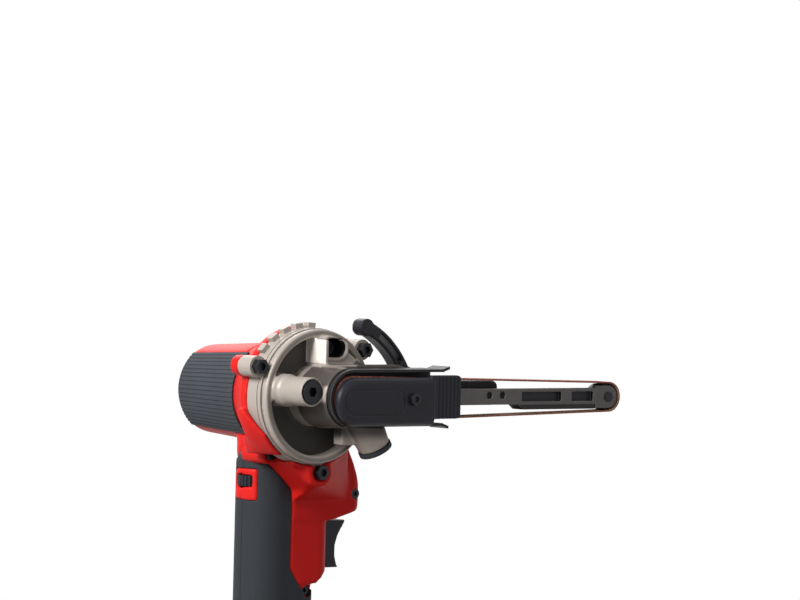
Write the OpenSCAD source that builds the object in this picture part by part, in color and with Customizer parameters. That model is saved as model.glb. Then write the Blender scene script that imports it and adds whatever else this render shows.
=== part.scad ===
// Power file: a narrow belt sander with a swivelling head on a pistol grip.
// X points forward along the arm, Y to the left and Z up. The origin is on the base,
// straight below the motor axis. A value named out is a distance to the right of the
// housing's parting plane, along -Y. A value named drop is a distance below the motor axis.

/* [Barrel and flange] */
// Length of the motor barrel behind the parting plane
barrel_len = 58; // [57:0.5:66]
// Radius of the barrel at the parting plane
barrel_r = 29.5; // [28.5:0.25:32]
// Radius of the barrel at its rear end
barrel_rear_r = 26; // [25.5:0.25:28]
// Rounding of the barrel's rear edge
barrel_round = 5; // [2:0.5:6]
// Wall that closes the barrel
barrel_end_t = 3; // [2:0.25:4]
// Radius of the flange that carries the collar
flange_r = 40; // [39.5:0.25:43]
// Width of the flange's straight rim
flange_land = 5; // [2:0.5:8]
// Distance from the parting plane to the collar's seat
seat_out = 29; // [28:0.5:33]

/* [Handle] */
// Distance from the motor axis back to the handle's back
handle_back = 17.5; // [17.25:0.25:19]
// Distance from the motor axis forward to the handle's front
handle_front = 24; // [22:0.5:28]
// Half the handle's width
handle_half_w = 17; // [16.75:0.25:18]
// Corner radius at the handle's back
handle_back_r = 16; // [14:0.5:16.5]
// Corner radius at the handle's front
handle_front_r = 8; // [5:0.5:12]
// Lower end of the handle below the motor axis
handle_drop = 162; // [156:1:176]
// Height of the flare between handle and foot
flare_h = 12; // [8:0.5:18]

/* [Nose over the trigger] */
// Front of the nose
nose_front = 56.5; // [53:0.5:62]
// Half the nose's width
nose_half_w = 18; // [17.5:0.25:20]
// Drop of the nose's straight face
nose_face_drop = 54; // [50:0.5:58]
// Drop of the nose's lower corner
nose_low_drop = 69; // [66:0.5:71]
// Drop of the nose's underside at the trigger
nose_base_drop = 73.5; // [72:0.5:76]
// Front of the trigger housing
trigger_house_front = 35; // [33:0.5:38]
// Drop of the trigger housing's lower end
trigger_house_drop = 101; // [101:0.5:106]

/* [Soft grips] */
// Thickness of the soft grip
grip_t = 2.2; // [1.5:0.1:3]
// Height of the soft grip over the hard housing
grip_proud = 0.8; // [0.3:0.1:1.2]
// Front edge of the grip on the handle's sides
grip_edge_x = 4.2; // [3:0.2:6]
// Drop of the grip's top edge at the back
grip_top_drop = 33.5; // [33:0.5:36]
// Drop where the grip closes round the front
grip_wrap_drop = 122; // [118:1:130]
// Thickness of the barrel's ribbed panels
panel_t = 2; // [1.2:0.1:2.5]
// Half angle that each barrel panel spans
panel_half_angle = 52; // [40:1:60]
// Count of grooves on each barrel panel
panel_grooves = 19; // [9:1:21]

/* [Collar] */
// Outer radius of the fixed collar
collar_r = 39; // [38.5:0.1:39.5]
// Length of the collar
collar_len = 12; // [11:0.25:14]
// Wall of the collar round the dish
collar_wall = 2.5; // [2:0.1:3]
// Distance of the collar bolts outside the collar
bolt_offset = 5; // [4.9:0.1:7]
// Radius of the bolt lugs
lug_r = 6; // [5.5:0.25:7]

/* [Swivel head] */
// Outer radius of the dish's rim
dish_r = 38.5; // [37.5:0.1:39]
// Width of the dish's rim
dish_rim_w = 4.5; // [4:0.25:6]
// Depth of the dish
dish_depth = 8; // [6:0.25:9]
// Length of the rim in front of the collar
rim_len = 4.7; // [3.5:0.1:6]
// Distance from the parting plane to the hub's end
hub_out = 56.3; // [56:0.1:57]
// Thickness of the neck plate
neck_t = 8; // [6:0.25:10]
// Front of the neck block
block_front = 74; // [72:0.5:76]
// Length of the neck block
block_len = 25; // [20:0.5:27]
// Height of the neck block over the motor axis
block_top = 16.5; // [15.5:0.25:18]
// Forward end of the rail
rail_end = 121; // [119:0.5:126]
// Radius of the clamp boss
clamp_boss_r = 8.3; // [7.5:0.1:9]

/* [Dust port] */
// Radius of the dust port where it leaves the casting
port_r = 11.3; // [10.8:0.1:12]
// Radius of the dust port at its end
port_end_r = 9.3; // [9:0.1:10]
// Radius of the dust port's bore
port_bore_r = 7.5; // [7:0.1:8]
// Length of the dust port along its axis
port_len = 21.2; // [20:0.2:26]
// Forward lean of the dust port
port_lean = 30.6; // [26:0.2:32]

/* [Belt and arm] */
// Length of the belt's loop
belt_len = 457; // [452:1:465]
// Width of the belt
belt_w = 13; // [11:0.5:13]
// Thickness of the belt
belt_t = 0.9; // [0.7:0.05:1.1]
// Radius of the drive pulley
pulley_r = 12; // [11.5:0.1:12.2]
// Radius of the roller at the tip of the arm
roller_r = 7.7; // [7.4:0.1:8]
// Height of the arm's bar
bar_h = 9; // [8:0.25:9.5]
// Depth of the arm's pockets
pocket_depth = 2.5; // [1:0.25:4]
// Travel of the arm when the lever slackens the belt
arm_travel = 8; // [6:0.5:9]

/* [Guard and cover] */
// Radius of the guard round the pulley
guard_r = 16.3; // [16:0.1:16.8]
// Thickness of the guard's sheet
guard_t = 1.6; // [1.2:0.1:1.9]
// Forward end of the guard's plates
guard_front = 67; // [62:0.5:68]
// Radius of the cover's round end
cover_r = 13.8; // [13.2:0.1:15]
// Height of the domed cover
cover_t = 5; // [4.2:0.1:5.5]
// Length of the ribbed finger block
finger_len = 20; // [14:0.5:22]

/* [Controls] */
// Half the trigger's width
trigger_half_w = 8; // [7:0.25:9]
// Reach of the trigger in front of its housing
trigger_reach = 18; // [16:0.5:18.5]
// Travel of the trigger
trigger_travel = 6; // [4:0.25:7]
// Radius of the speed dial
dial_r = 9.5; // [8.5:0.1:10]
// Thickness of the speed dial
dial_t = 6; // [5:0.25:7]
// Drop of the speed dial
dial_drop = 50.5; // [49:0.5:52]
// Radius of the tracking knob
knob_r = 8.5; // [7.5:0.1:9]
// Radius of the lever's outer rail
lever_r = 59.5; // [59:0.25:61]
// Width of the lever
lever_w = 9; // [7:0.25:9.3]

/* [Foot and battery] */
// Distance from the motor axis back to the foot's back
foot_back = 38; // [36:0.5:42]
// Distance from the motor axis forward to the foot's front
foot_front = 60; // [56:0.5:64]
// Half the foot's width
foot_half_w = 34; // [32:0.5:38]
// Height of the foot
foot_h = 12; // [11.5:0.25:15]
// Distance from the motor axis back to the battery's back
battery_back = 42; // [40:0.5:46]
// Distance from the motor axis forward to the battery's front
battery_front = 74; // [72:0.5:80]
// Half the battery's width
battery_half_w = 37; // [36.5:0.5:40]
// Height of the battery
battery_h = 41.7; // [41.5:0.1:46]
// Wall of the battery's case
battery_wall = 2.2; // [1.8:0.1:2.3]

/* [Motor] */
// Plastic left between the motor bore and the ribbed panels
barrel_wall = 1; // [0.8:0.1:1.5]
// Room for the fan between the motor can and the collar
fan_room = 16; // [15:0.25:18]
// Gap between the armature and the magnets
air_gap = 0.8; // [0.4:0.1:1.5]
// Radius of the motor shaft
shaft_r = 4; // [3.5:0.05:4]

/* [Hidden] */
$fn = 64;

// Clearances: between bodies that move, between seated pieces, round shafts, and for cuts
gap = 0.3;
seat_gap = 0.1;
shaft_gap = 0.05;
overrun = 1;

// Heights from the base
foot_z = battery_h + gap;
axis_h = foot_z + foot_h + flare_h + handle_drop;

// Colours
red = [0.78, 0.16, 0.13];
soft_grey = [0.21, 0.22, 0.24];
pale_metal = [0.72, 0.68, 0.62];
dark_metal = [0.27, 0.26, 0.25];
black_plastic = [0.13, 0.13, 0.16];
steel = [0.62, 0.63, 0.65];
belt_red = [0.66, 0.36, 0.30];
copper = [0.72, 0.45, 0.25];

// Shared helpers
module at_axis() {
  translate([0, 0, axis_h])
    children();
}

// Prism of a side profile between two out values
module slab(out_0, out_1) {
  translate([0, -out_0, 0])
    rotate([90, 0, 0])
      linear_extrude(out_1 - out_0)
        children();
}

// Round bar along the motor axis between two out values
module rod(r, out_0, out_1, x = 0, z = 0) {
  translate([x, -out_0, z])
    rotate([90, 0, 0])
      cylinder(r = r, h = out_1 - out_0);
}

// Ring sector about the motor axis direction
module ring_arc(r_0, r_1, out_0, out_1, angle_0, angle_1) {
  translate([0, -out_0, 0])
    rotate([90, 0, 0])
      rotate([0, 0, angle_0])
        rotate_extrude(angle = angle_1 - angle_0)
          translate([r_0, 0])
            square([r_1 - r_0, out_1 - out_0]);
}

// Revolved profile about the motor axis, with points of radius and out value
module revolve(points) {
  rotate([90, 0, 0])
    rotate_extrude()
      polygon(points);
}

// Plan with round corners: back and front ends, half width, back and front radii
module round_plan(back, front, half_w, back_r, front_r) {
  polygon([
    [back, -half_w + back_r], [back + back_r, -half_w],
    [front - front_r, -half_w], [front, -half_w + front_r],
    [front, half_w - front_r], [front - front_r, half_w],
    [back + back_r, half_w], [back, half_w - back_r]
  ]);
  for (side = [-1, 1]) {
    translate([back + back_r, side * (half_w - back_r)])
      circle(back_r);
    translate([front - front_r, side * (half_w - front_r)])
      circle(front_r);
  }
}

// Slot with round ends between two points on a level
module stadium(x_0, x_1, z, r) {
  translate([x_0, z - r])
    square([x_1 - x_0, 2 * r]);
  for (x = [x_0, x_1])
    translate([x, z])
      circle(r);
}

// Points on an arc
function arc(cx, cz, r, angle_0, angle_1, steps) = [
  for (i = [0 : steps])
    let (a = angle_0 + (angle_1 - angle_0) * i / steps)
      [cx + r * cos(a), cz + r * sin(a)]
];

// Box from its lowest corner to its highest
module box(low, high) {
  translate(low)
    cube(high - low);
}

// Motor line, in out values
barrel_floor_out = -(barrel_len - barrel_end_t);
brush_plate_t = 8;
can_rear_out = barrel_floor_out + seat_gap + brush_plate_t;
can_wall = 1.5;
can_r = min(barrel_r, barrel_rear_r) - panel_t - barrel_wall - gap;
motor_bore_r = can_r + gap;
bearing_r = 11;
bearing_w = 7;
rear_bearing_r = 9.5;
rear_bearing_w = 6;
spigot_r = 14.5;
spigot_len = 8;
spigot_out = seat_out - spigot_len;
motor_bore_out = spigot_out - 2 * overrun;
can_front_out = motor_bore_out - fan_room;
can_len = can_front_out - can_rear_out;

// Housing
handle_top_drop = 24;
nose_shoulder_x = 42;
nose_brow_x = 50;
nose_brow_drop = 40;
nose_round = 4;
nose_corner_r = 7;
trigger_house_r = 10;
barrel_front_out = 5;
trigger_house_slope = 9;
half_space = 400;
core_back = 8;
core_front = 18;
core_half_w = 11.5;
core_rise = 8;
core_top_drop = nose_base_drop - overrun - core_rise;
core_end_gap = 10;
core_end_drop = handle_drop - core_end_gap;
screw_head_r = 3;
screw_head_h = 2.6;
screw_r = 1.6;
screw_len = 24;
screw_sink = 3.5;
back_screw_x = -15;
back_screw_drop = 34.5;
back_screw_out = 24;
back_boss_r = 5.5;
front_screw_x = 51.5;
front_screw_drop = 58.5;
low_screw_x = 19;
low_screw_drop = 114;
foot_screw_front = 20;
foot_screw_back = -14;
foot_screw_out = 23;
foot_screw_z = foot_z + foot_h + flare_h / 2 - overrun;
bezel_half_w = 10;
bezel_proud = 1.2;
bezel_top_drop = dial_drop - dial_t - overrun;
bezel_end_drop = dial_drop + 2 * dial_t - overrun;
bezel_depth = 7;
window_half_w = 7.5;
dial_x = -(handle_back + bezel_proud + overrun - dial_r);
vent_w = 2.2;
vent_pitch = 6.5;
vent_count = 5;
vent_half_len = 13;
foot_r = 10;

// Screw places: x, height over the motor axis, out value of the head's seat
screw_places = [
  [back_screw_x, -back_screw_drop, back_screw_out],
  [front_screw_x, -front_screw_drop, nose_half_w],
  [low_screw_x - overrun, -low_screw_drop, handle_half_w - grip_t],
  [foot_screw_back, foot_screw_z - axis_h, foot_screw_out],
  [foot_screw_front, foot_screw_z - axis_h, foot_screw_out]
];
bolt_ring_r = collar_r + bolt_offset;
bolt_angles = [157, 37, 277];
bolt_r = 2.4;
bolt_head_r = 4.6;
bolt_head_h = 4.5;
bolt_len = 18;
lug_len = 11.5;
lug_web = 5;
ear_len = 7;

module frame_profile() {
  polygon(concat(
    [
      [-handle_back, -handle_top_drop], [nose_shoulder_x, -handle_top_drop],
      [nose_brow_x, -nose_brow_drop], [nose_front, -nose_face_drop]
    ],
    arc(nose_front - nose_round, nose_round - nose_low_drop, nose_round, 0, -75, 5),
    [
      [trigger_house_front, -nose_base_drop], [trigger_house_front, -trigger_house_drop],
      [handle_front, -trigger_house_drop - trigger_house_slope],
      [-handle_back, -trigger_house_drop - trigger_house_slope]
    ]
  ));
}

grip_bend_share = 0.68;
grip_bend_drop = 9;

// The part of the handle that the soft grip covers, seen from the side
module grip_profile() {
  reach = half_space / 2;
  polygon([
    [-reach, -grip_top_drop], [-handle_back, -grip_top_drop],
    [(grip_edge_x - handle_back) * grip_bend_share, -grip_top_drop - grip_bend_drop],
    [grip_edge_x, -grip_top_drop - handle_back - grip_edge_x], [grip_edge_x, -trigger_house_drop],
    [grip_edge_x + trigger_house_slope, -grip_wrap_drop + trigger_house_slope],
    [reach, -grip_wrap_drop], [reach, -handle_drop], [-reach, -handle_drop]
  ]);
}

module handle_column(grow, top_drop, end_drop) {
  translate([0, 0, -end_drop])
    linear_extrude(end_drop - top_drop)
      round_plan(-handle_back - grow, handle_front + grow, handle_half_w + grow,
                 handle_back_r + grow, handle_front_r + grow);
}

module grip_prism() {
  slab(-half_space / 2, half_space / 2)
    grip_profile();
}

module bezel_zone() {
  box([-half_space / 2, -bezel_half_w, -bezel_end_drop],
      [-handle_back + bezel_depth, bezel_half_w, -bezel_top_drop]);
}

module foot_plan() {
  round_plan(-foot_back, foot_front, foot_half_w, foot_r, foot_r);
}

// Red cheeks that hold the lower half of the collar, and the flare down to the handle
saddle_t = 4;
saddle_back = 8;
saddle_top = 7.5;
saddle_low = 23;
saddle_out = seat_out + collar_len - 2 * gap;
flare_drop = 62;

module saddle() {
  seat_r = collar_r + gap;
  difference() {
    union() {
      intersection() {
        revolve([
          [seat_r - saddle_t, seat_out - saddle_back], [seat_r + saddle_t, seat_out - saddle_t],
          [seat_r + saddle_t, seat_out + overrun], [seat_r + saddle_t / 2, saddle_out],
          [seat_r - saddle_t, saddle_out]
        ]);
        rotate([90, 0, 90])
          translate([0, 0, -half_space / 2])
            linear_extrude(half_space)
              polygon([
                [saddle_back - seat_out, -saddle_top], [-seat_out, -saddle_top],
                [-saddle_out - overrun, -saddle_low], [-saddle_out - overrun, -half_space],
                [saddle_back - seat_out, -half_space]
              ]);
      }
      hull() {
        intersection() {
          rod(seat_r + saddle_t - overrun, seat_out - saddle_back, seat_out + overrun);
          box([-half_space, -half_space, -half_space], [half_space, 0, -saddle_low]);
        }
        rod(lug_r + 2 * overrun, seat_out - ear_len, saddle_out - overrun,
            bolt_ring_r * cos(bolt_angles[2]), bolt_ring_r * sin(bolt_angles[2]));
        translate([0, 0, -flare_drop])
          linear_extrude(overrun)
            intersection() {
              round_plan(-handle_back + grip_t, nose_front - 2 * nose_round, nose_half_w - gap,
                         handle_back_r - grip_t, nose_corner_r);
              translate([-half_space / 2, -half_space - grip_t])
                square(half_space);
            }
      }
    }
    rod(seat_r, seat_out - gap, half_space);
    rotate([0, -bolt_angles[2], 0]) {
      rod(lug_r + gap, seat_out - gap, half_space, bolt_ring_r, 0);
      box([0, -half_space, -lug_web - gap], [bolt_ring_r, -seat_out + gap, lug_web + gap]);
    }
  }
}

// Both housing halves as one outer form
module housing_form() {
  revolve(concat(
    [[0, -barrel_len]],
    arc(barrel_rear_r - barrel_round, barrel_round - barrel_len, barrel_round, -90, 0, 6),
    [
      [barrel_r, barrel_front_out], [flange_r, seat_out - flange_land],
      [flange_r, seat_out], [0, seat_out]
    ]
  ));
  for (a = bolt_angles)
    rod(lug_r, seat_out - ear_len, seat_out, bolt_ring_r * cos(a), bolt_ring_r * sin(a));
  rod(back_boss_r, 0, back_screw_out, back_screw_x, -back_screw_drop);
  difference() {
    union() {
      saddle();
      intersection() {
        slab(-nose_half_w, nose_half_w)
          frame_profile();
        union() {
          translate([0, 0, -nose_base_drop])
            linear_extrude(half_space)
              round_plan(-handle_back, nose_front, nose_half_w, handle_back_r, nose_corner_r);
          translate([0, 0, -half_space])
            linear_extrude(half_space)
              round_plan(-handle_back + gap, trigger_house_front, nose_half_w - gap, handle_back_r,
                         trigger_house_r);
        }
      }
      handle_column(0, handle_top_drop, handle_drop);
    }
    grip_prism();
  }
  handle_column(-grip_t, handle_top_drop, handle_drop);
  intersection() {
    handle_column(bezel_proud, handle_top_drop, handle_drop);
    bezel_zone();
  }
  hull() {
    translate([0, 0, -handle_drop - flare_h])
      linear_extrude(flare_h / 4, $fn = 32)
        foot_plan($fn = 32);
    translate([0, 0, -handle_drop - overrun])
      linear_extrude(overrun)
        round_plan(-handle_back, handle_front, handle_half_w, handle_back_r, handle_front_r,
                   $fn = 32);
  }
  translate([0, 0, foot_z - axis_h])
    linear_extrude(foot_h)
      foot_plan();
}

// Rail channel under the foot for the battery's tongue
tongue_back = 12;
tongue_front = 56;
tongue_neck_half_w = 19;
tongue_head_half_w = 22;
tongue_neck_h = 3.8;
tongue_head_h = 5;
channel_back = foot_back - 4;
channel_z = foot_z + tongue_neck_h;

module channel_cut() {
  box([-channel_back, -tongue_neck_half_w - gap, foot_z - axis_h - overrun],
      [foot_front + overrun, tongue_neck_half_w + gap, channel_z - axis_h + overrun]);
  box([-channel_back, -tongue_head_half_w - gap, channel_z - axis_h - gap],
      [foot_front + overrun, tongue_head_half_w + gap, channel_z - axis_h + tongue_head_h + gap]);
}

trigger_top_drop = nose_base_drop + overrun;
trigger_end_drop = trigger_house_drop + overrun;

module housing_cuts() {
  rod(motor_bore_r, barrel_floor_out, motor_bore_out);
  rod(spigot_r + seat_gap, motor_bore_out - overrun, seat_out + overrun);
  box([-core_back, -core_half_w, -core_end_drop], [core_front, core_half_w, -core_top_drop]);
  box([core_front - overrun, -trigger_half_w - gap, -trigger_end_drop - gap],
      [nose_front, trigger_half_w + gap, -trigger_top_drop + gap]);
  translate([dial_x, 0, -dial_drop - dial_t / 2 - gap])
    cylinder(r = dial_r + gap, h = dial_t + 2 * gap);
  box([-half_space / 2, -window_half_w, -dial_drop - dial_t / 2 - gap],
      [dial_x - dial_r / 3, window_half_w, -dial_drop + dial_t / 2 + gap]);
  translate([dial_x, 0, -dial_drop - dial_t / 2 - pot_h - gap])
    cylinder(r = pot_r + seat_gap, h = pot_h + dial_t);
  for (i = [0 : vent_count - 1])
    translate([(i - (vent_count - 1) / 2) * vent_pitch, 0, 0])
      box([-vent_w / 2, -barrel_floor_out - overrun, -vent_half_len],
          [vent_w / 2, barrel_len + overrun, vent_half_len]);
  for (p = screw_places) {
    rod(screw_head_r + seat_gap, p[2] - screw_sink, p[2] + half_space / 2, p[0], p[1]);
    rod(screw_r + seat_gap, p[2] - screw_sink - screw_len - overrun, p[2], p[0], p[1]);
  }
  for (a = bolt_angles)
    rod(bolt_r + seat_gap, seat_out + lug_len - bolt_len - overrun, seat_out + overrun,
        bolt_ring_r * cos(a), bolt_ring_r * sin(a));
  channel_cut();
}

module housing_half(side) {
  color(red)
    at_axis()
      intersection() {
        difference() {
          housing_form();
          housing_cuts();
          panel_seats();
        }
        translate([-half_space / 2, side > 0 ? 0 : -half_space, -half_space])
          cube([half_space, half_space, 2 * half_space]);
      }
}

module left_housing() {
  housing_half(1);
}

module right_housing() {
  housing_half(-1);
}

// Ribbed panels let into the barrel's front and rear faces
panel_out_0 = -barrel_len + barrel_round + gap;
panel_out_1 = barrel_front_out - panel_t;
groove_r = 0.45;
function barrel_r_at(out) =
  barrel_r + (barrel_rear_r - barrel_r) * (barrel_front_out - out)
    / (barrel_len - barrel_round + barrel_front_out);

module panel_ring(inset_0, inset_1, trim) {
  for (side = [0, 180])
    rotate([90, 0, 0])
      rotate([0, 0, side - panel_half_angle + trim])
        rotate_extrude(angle = 2 * (panel_half_angle - trim))
          polygon([
            [barrel_r_at(panel_out_0) - inset_0, panel_out_0],
            [barrel_r_at(panel_out_0) + inset_1, panel_out_0],
            [barrel_r_at(panel_out_1) + inset_1, panel_out_1],
            [barrel_r_at(panel_out_1) - inset_0, panel_out_1]
          ]);
}

module panel_seats() {
  panel_ring(panel_t, panel_t, 0);
}

module barrel_grip() {
  step = 2 * panel_half_angle / (panel_grooves + 1);
  lean = atan((barrel_r - barrel_rear_r) / (barrel_len - barrel_round + barrel_front_out));
  color(soft_grey)
    at_axis()
      difference() {
        panel_ring(panel_t, grip_proud, 0);
        for (side = [0, 180])
          for (i = [1 : panel_grooves])
            rotate([0, side - panel_half_angle + i * step, 0])
              translate([barrel_r + grip_proud, -barrel_front_out, 0])
                rotate([-90, 0, 0])
                  rotate([0, -lean, 0])
                    cylinder(r = groove_r, h = barrel_len + barrel_front_out, $fn = 6);
      }
}

module grip_half(side) {
  color(soft_grey)
    at_axis()
      intersection() {
        difference() {
          handle_column(grip_proud, handle_top_drop, handle_drop);
          handle_column(-grip_t, 0, handle_drop + overrun);
          bezel_zone();
          box([trigger_house_front - 2 * trigger_house_slope, -half_space, -trigger_house_drop
               - trigger_house_slope], [half_space, half_space, 0]);
          rod(screw_head_r + overrun, 0, half_space / 2, low_screw_x - overrun, -low_screw_drop);
          rod(back_boss_r + seat_gap, -screw_len, half_space / 2, back_screw_x, -back_screw_drop);
          for (a = bolt_angles)
            rod(lug_r + gap, 0, half_space / 2, bolt_ring_r * cos(a), bolt_ring_r * sin(a));
        }
        grip_prism();
        translate([-half_space / 2, side > 0 ? 0 : -half_space, -half_space])
          cube([half_space, half_space, half_space]);
      }
}

module left_grip() {
  grip_half(1);
}

module right_grip() {
  grip_half(-1);
}

socket_r = 1.4;
socket_depth = 1.6;

module housing_screws() {
  color(dark_metal)
    at_axis()
      for (p = screw_places)
        difference() {
          union() {
            rod(screw_head_r, p[2] - screw_sink, p[2] - screw_sink + screw_head_h, p[0], p[1]);
            rod(screw_r, p[2] - screw_sink - screw_len, p[2] - screw_sink + overrun, p[0], p[1]);
          }
          translate([p[0], -p[2] + screw_sink - screw_head_h + socket_depth, p[1]])
            rotate([90, 0, 0])
              cylinder(r = socket_r, h = screw_head_h, $fn = 6);
        }
}

// Fixed collar
collar_plate = 3;
collar_end_out = seat_out + collar_len;
collar_bore_r = collar_r - collar_wall;
lip_r = 6.5;
groove_w = 0.8;
groove_depth = 0.7;
groove_share = 0.72;
tooth_angles = [86, 99, 112, 125, 138];
tooth_w = 5.2;
tooth_len = 5;
tooth_h = 2;

module collar() {
  color(pale_metal)
    at_axis()
      difference() {
        union() {
          rod(collar_r, seat_out, collar_end_out);
          rod(spigot_r, spigot_out, seat_out);
          for (a = bolt_angles) {
            rod(lug_r, seat_out + gap, seat_out + lug_len, bolt_ring_r * cos(a), bolt_ring_r * sin(a));
            rotate([0, -a, 0])
              box([collar_r - lug_web, -seat_out - lug_len + gap, -lug_web],
                  [bolt_ring_r, -seat_out - 2 * gap, lug_web]);
          }
          for (a = tooth_angles)
            rotate([0, -a, 0])
              box([collar_r - tooth_h, -seat_out - tooth_len, -tooth_w / 2],
                  [flange_r + tooth_h, -seat_out - gap, tooth_w / 2]);
        }
        rod(collar_bore_r, seat_out + collar_plate, collar_end_out + overrun);
        rod(bearing_r + shaft_gap, spigot_out - overrun, spigot_out + bearing_w);
        rod(lip_r, spigot_out, seat_out + collar_plate + overrun);
        for (a = bolt_angles)
          rod(bolt_r + seat_gap, seat_out - overrun, seat_out + lug_len + overrun,
              bolt_ring_r * cos(a), bolt_ring_r * sin(a));
        difference() {
          rod(collar_r + overrun, seat_out + collar_len * groove_share,
              seat_out + collar_len * groove_share + groove_w);
          rod(collar_r - groove_depth, seat_out, collar_end_out);
        }
      }
}

module collar_bolts() {
  head_out = seat_out + lug_len;
  color(dark_metal)
    at_axis()
      for (a = bolt_angles)
        translate([bolt_ring_r * cos(a), 0, bolt_ring_r * sin(a)]) {
          rod(bolt_r, head_out - bolt_len, head_out);
          difference() {
            rod(bolt_head_r, head_out, head_out + bolt_head_h, $fn = 6);
            rod(bolt_r, head_out + bolt_head_h / 2, head_out + bolt_head_h + overrun, $fn = 6);
          }
        }
}

// Motor
magnet_t = 2.4;
magnet_half_angle = 62;
end_room = 16;
magnet_len = can_len - end_room;
armature_len = magnet_len - 2 * overrun;
armature_r = can_r - can_wall - magnet_t - air_gap;
armature_slots = 10;
slot_r = 2.2;
slot_depth_share = 0.82;
slot_mouth = 1.4;
commutator_r = 9;
commutator_len = 9;
commutator_bars = 12;
bar_cut = 0.8;
brush_w = 6;
brush_len = 7;
brush_gap = 0.3;
post_t = 3.5;
armature_out = can_rear_out + commutator_len + 2 * overrun;
fan_r = can_r - can_wall - overrun;
fan_t = 9;
fan_blades = 9;
fan_disc_t = 1.5;
fan_hub_r = 8;
blade_t = 1.6;
blade_lean = 35;
fan_out = can_front_out + 2 * overrun;

module motor_can() {
  color(steel)
    at_axis()
      difference() {
        rod(can_r, can_rear_out, can_front_out);
        rod(can_r - can_wall, can_rear_out - overrun, can_front_out - can_wall);
        rod(fan_hub_r, can_rear_out, can_front_out + overrun);
      }
}

module magnets() {
  color(dark_metal)
    at_axis()
      for (side = [0, 180])
        ring_arc(can_r - can_wall - magnet_t, can_r - can_wall - seat_gap, armature_out,
                 armature_out + magnet_len, side - magnet_half_angle, side + magnet_half_angle);
}

module brush_plate() {
  color(black_plastic)
    at_axis()
      difference() {
        union() {
          rod(can_r, can_rear_out - brush_plate_t, can_rear_out - seat_gap);
          for (side = [-1, 1])
            box([-brush_w / 2, -can_rear_out - commutator_len,
                 min(side * (commutator_r + brush_gap + brush_len),
                     side * (commutator_r + brush_gap + brush_len + post_t))],
                [brush_w / 2, -can_rear_out + overrun,
                 max(side * (commutator_r + brush_gap + brush_len),
                     side * (commutator_r + brush_gap + brush_len + post_t))]);
        }
        rod(rear_bearing_r + shaft_gap, can_rear_out - brush_plate_t - overrun,
            can_rear_out - brush_plate_t + rear_bearing_w);
        rod(lip_r, can_rear_out - brush_plate_t, can_rear_out + overrun);
      }
}

module brushes() {
  color(dark_metal)
    at_axis()
      for (side = [-1, 1])
        box([-brush_w / 2, -can_rear_out - commutator_len + overrun,
             min(side * (commutator_r + brush_gap), side * (commutator_r + brush_gap + brush_len))],
            [brush_w / 2, -can_rear_out - overrun,
             max(side * (commutator_r + brush_gap), side * (commutator_r + brush_gap + brush_len))]);
}

race_share = 0.35;
shield_sink = 0.5;

module ball_bearing(outer_r, width, out) {
  race = (outer_r - shaft_r) * race_share;
  difference() {
    rod(outer_r, out, out + width);
    rod(shaft_r + shaft_gap, out - overrun, out + width + overrun);
    for (face = [out - overrun, out + width - shield_sink])
      difference() {
        rod(outer_r - race, face, face + overrun + (face < out ? shield_sink : 0));
        rod(shaft_r + race, face - overrun, face + 3 * overrun);
      }
  }
}

module rear_bearing() {
  color(steel)
    at_axis()
      ball_bearing(rear_bearing_r, rear_bearing_w, can_rear_out - brush_plate_t);
}

module front_bearing() {
  color(steel)
    at_axis()
      ball_bearing(bearing_r, bearing_w - seat_gap, spigot_out);
}

module armature() {
  color(copper)
    at_axis()
      slab(armature_out, armature_out + armature_len)
        difference() {
          circle(armature_r);
          circle(shaft_r + shaft_gap);
          for (i = [0 : armature_slots - 1])
            rotate(i * 360 / armature_slots) {
              translate([armature_r * slot_depth_share, 0])
                circle(slot_r);
              translate([armature_r * slot_depth_share, -slot_mouth / 2])
                square([armature_r, slot_mouth]);
            }
        }
}

module commutator() {
  color(copper)
    at_axis()
      slab(can_rear_out + overrun, can_rear_out + overrun + commutator_len)
        difference() {
          circle(commutator_r);
          circle(shaft_r + shaft_gap);
          for (i = [0 : commutator_bars - 1])
            rotate(i * 360 / commutator_bars)
              translate([commutator_r - bar_cut, -bar_cut / 2])
                square([2 * bar_cut, bar_cut]);
        }
}

module cooling_fan() {
  color(black_plastic)
    at_axis()
      difference() {
        union() {
          rod(fan_hub_r, fan_out, fan_out + fan_t);
          rod(fan_r, fan_out, fan_out + fan_disc_t);
          slab(fan_out, fan_out + fan_t)
            for (i = [0 : fan_blades - 1])
              rotate(i * 360 / fan_blades)
                translate([fan_hub_r - overrun, 0])
                  rotate(blade_lean)
                    square([(fan_r - fan_hub_r) * cos(blade_lean), blade_t]);
        }
        rod(shaft_r + shaft_gap, fan_out - overrun, fan_out + fan_t + overrun);
      }
}

// Belt drive, in out values
shroud_len = 5;
guard_back_out = hub_out + shroud_len;
pulley_out_0 = guard_back_out + guard_t + gap;
belt_out_0 = pulley_out_0 + gap;
belt_out_1 = belt_out_0 + belt_w;
pulley_out_1 = belt_out_1 + gap;
shaft_rear_out = can_rear_out - brush_plate_t + overrun / 2;
nut_r = 6;
nut_h = 4.5;
nut_sink = 6;
crown = 0.25;
shaft_end_out = pulley_out_1 - overrun;
pulley_flank = 2;

module motor_shaft() {
  color(steel)
    at_axis()
      rod(shaft_r, shaft_rear_out, shaft_end_out);
}

module drive_pulley() {
  middle = (pulley_out_0 + pulley_out_1) / 2;
  color(dark_metal)
    at_axis()
      revolve([
        [shaft_r + shaft_gap, pulley_out_0], [pulley_r - crown, pulley_out_0],
        [pulley_r, middle - pulley_flank], [pulley_r, middle + pulley_flank],
        [pulley_r - crown, pulley_out_1], [nut_r + overrun, pulley_out_1],
        [nut_r + overrun, pulley_out_1 - nut_sink], [shaft_r + shaft_gap, pulley_out_1 - nut_sink]
      ]);
}

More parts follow.
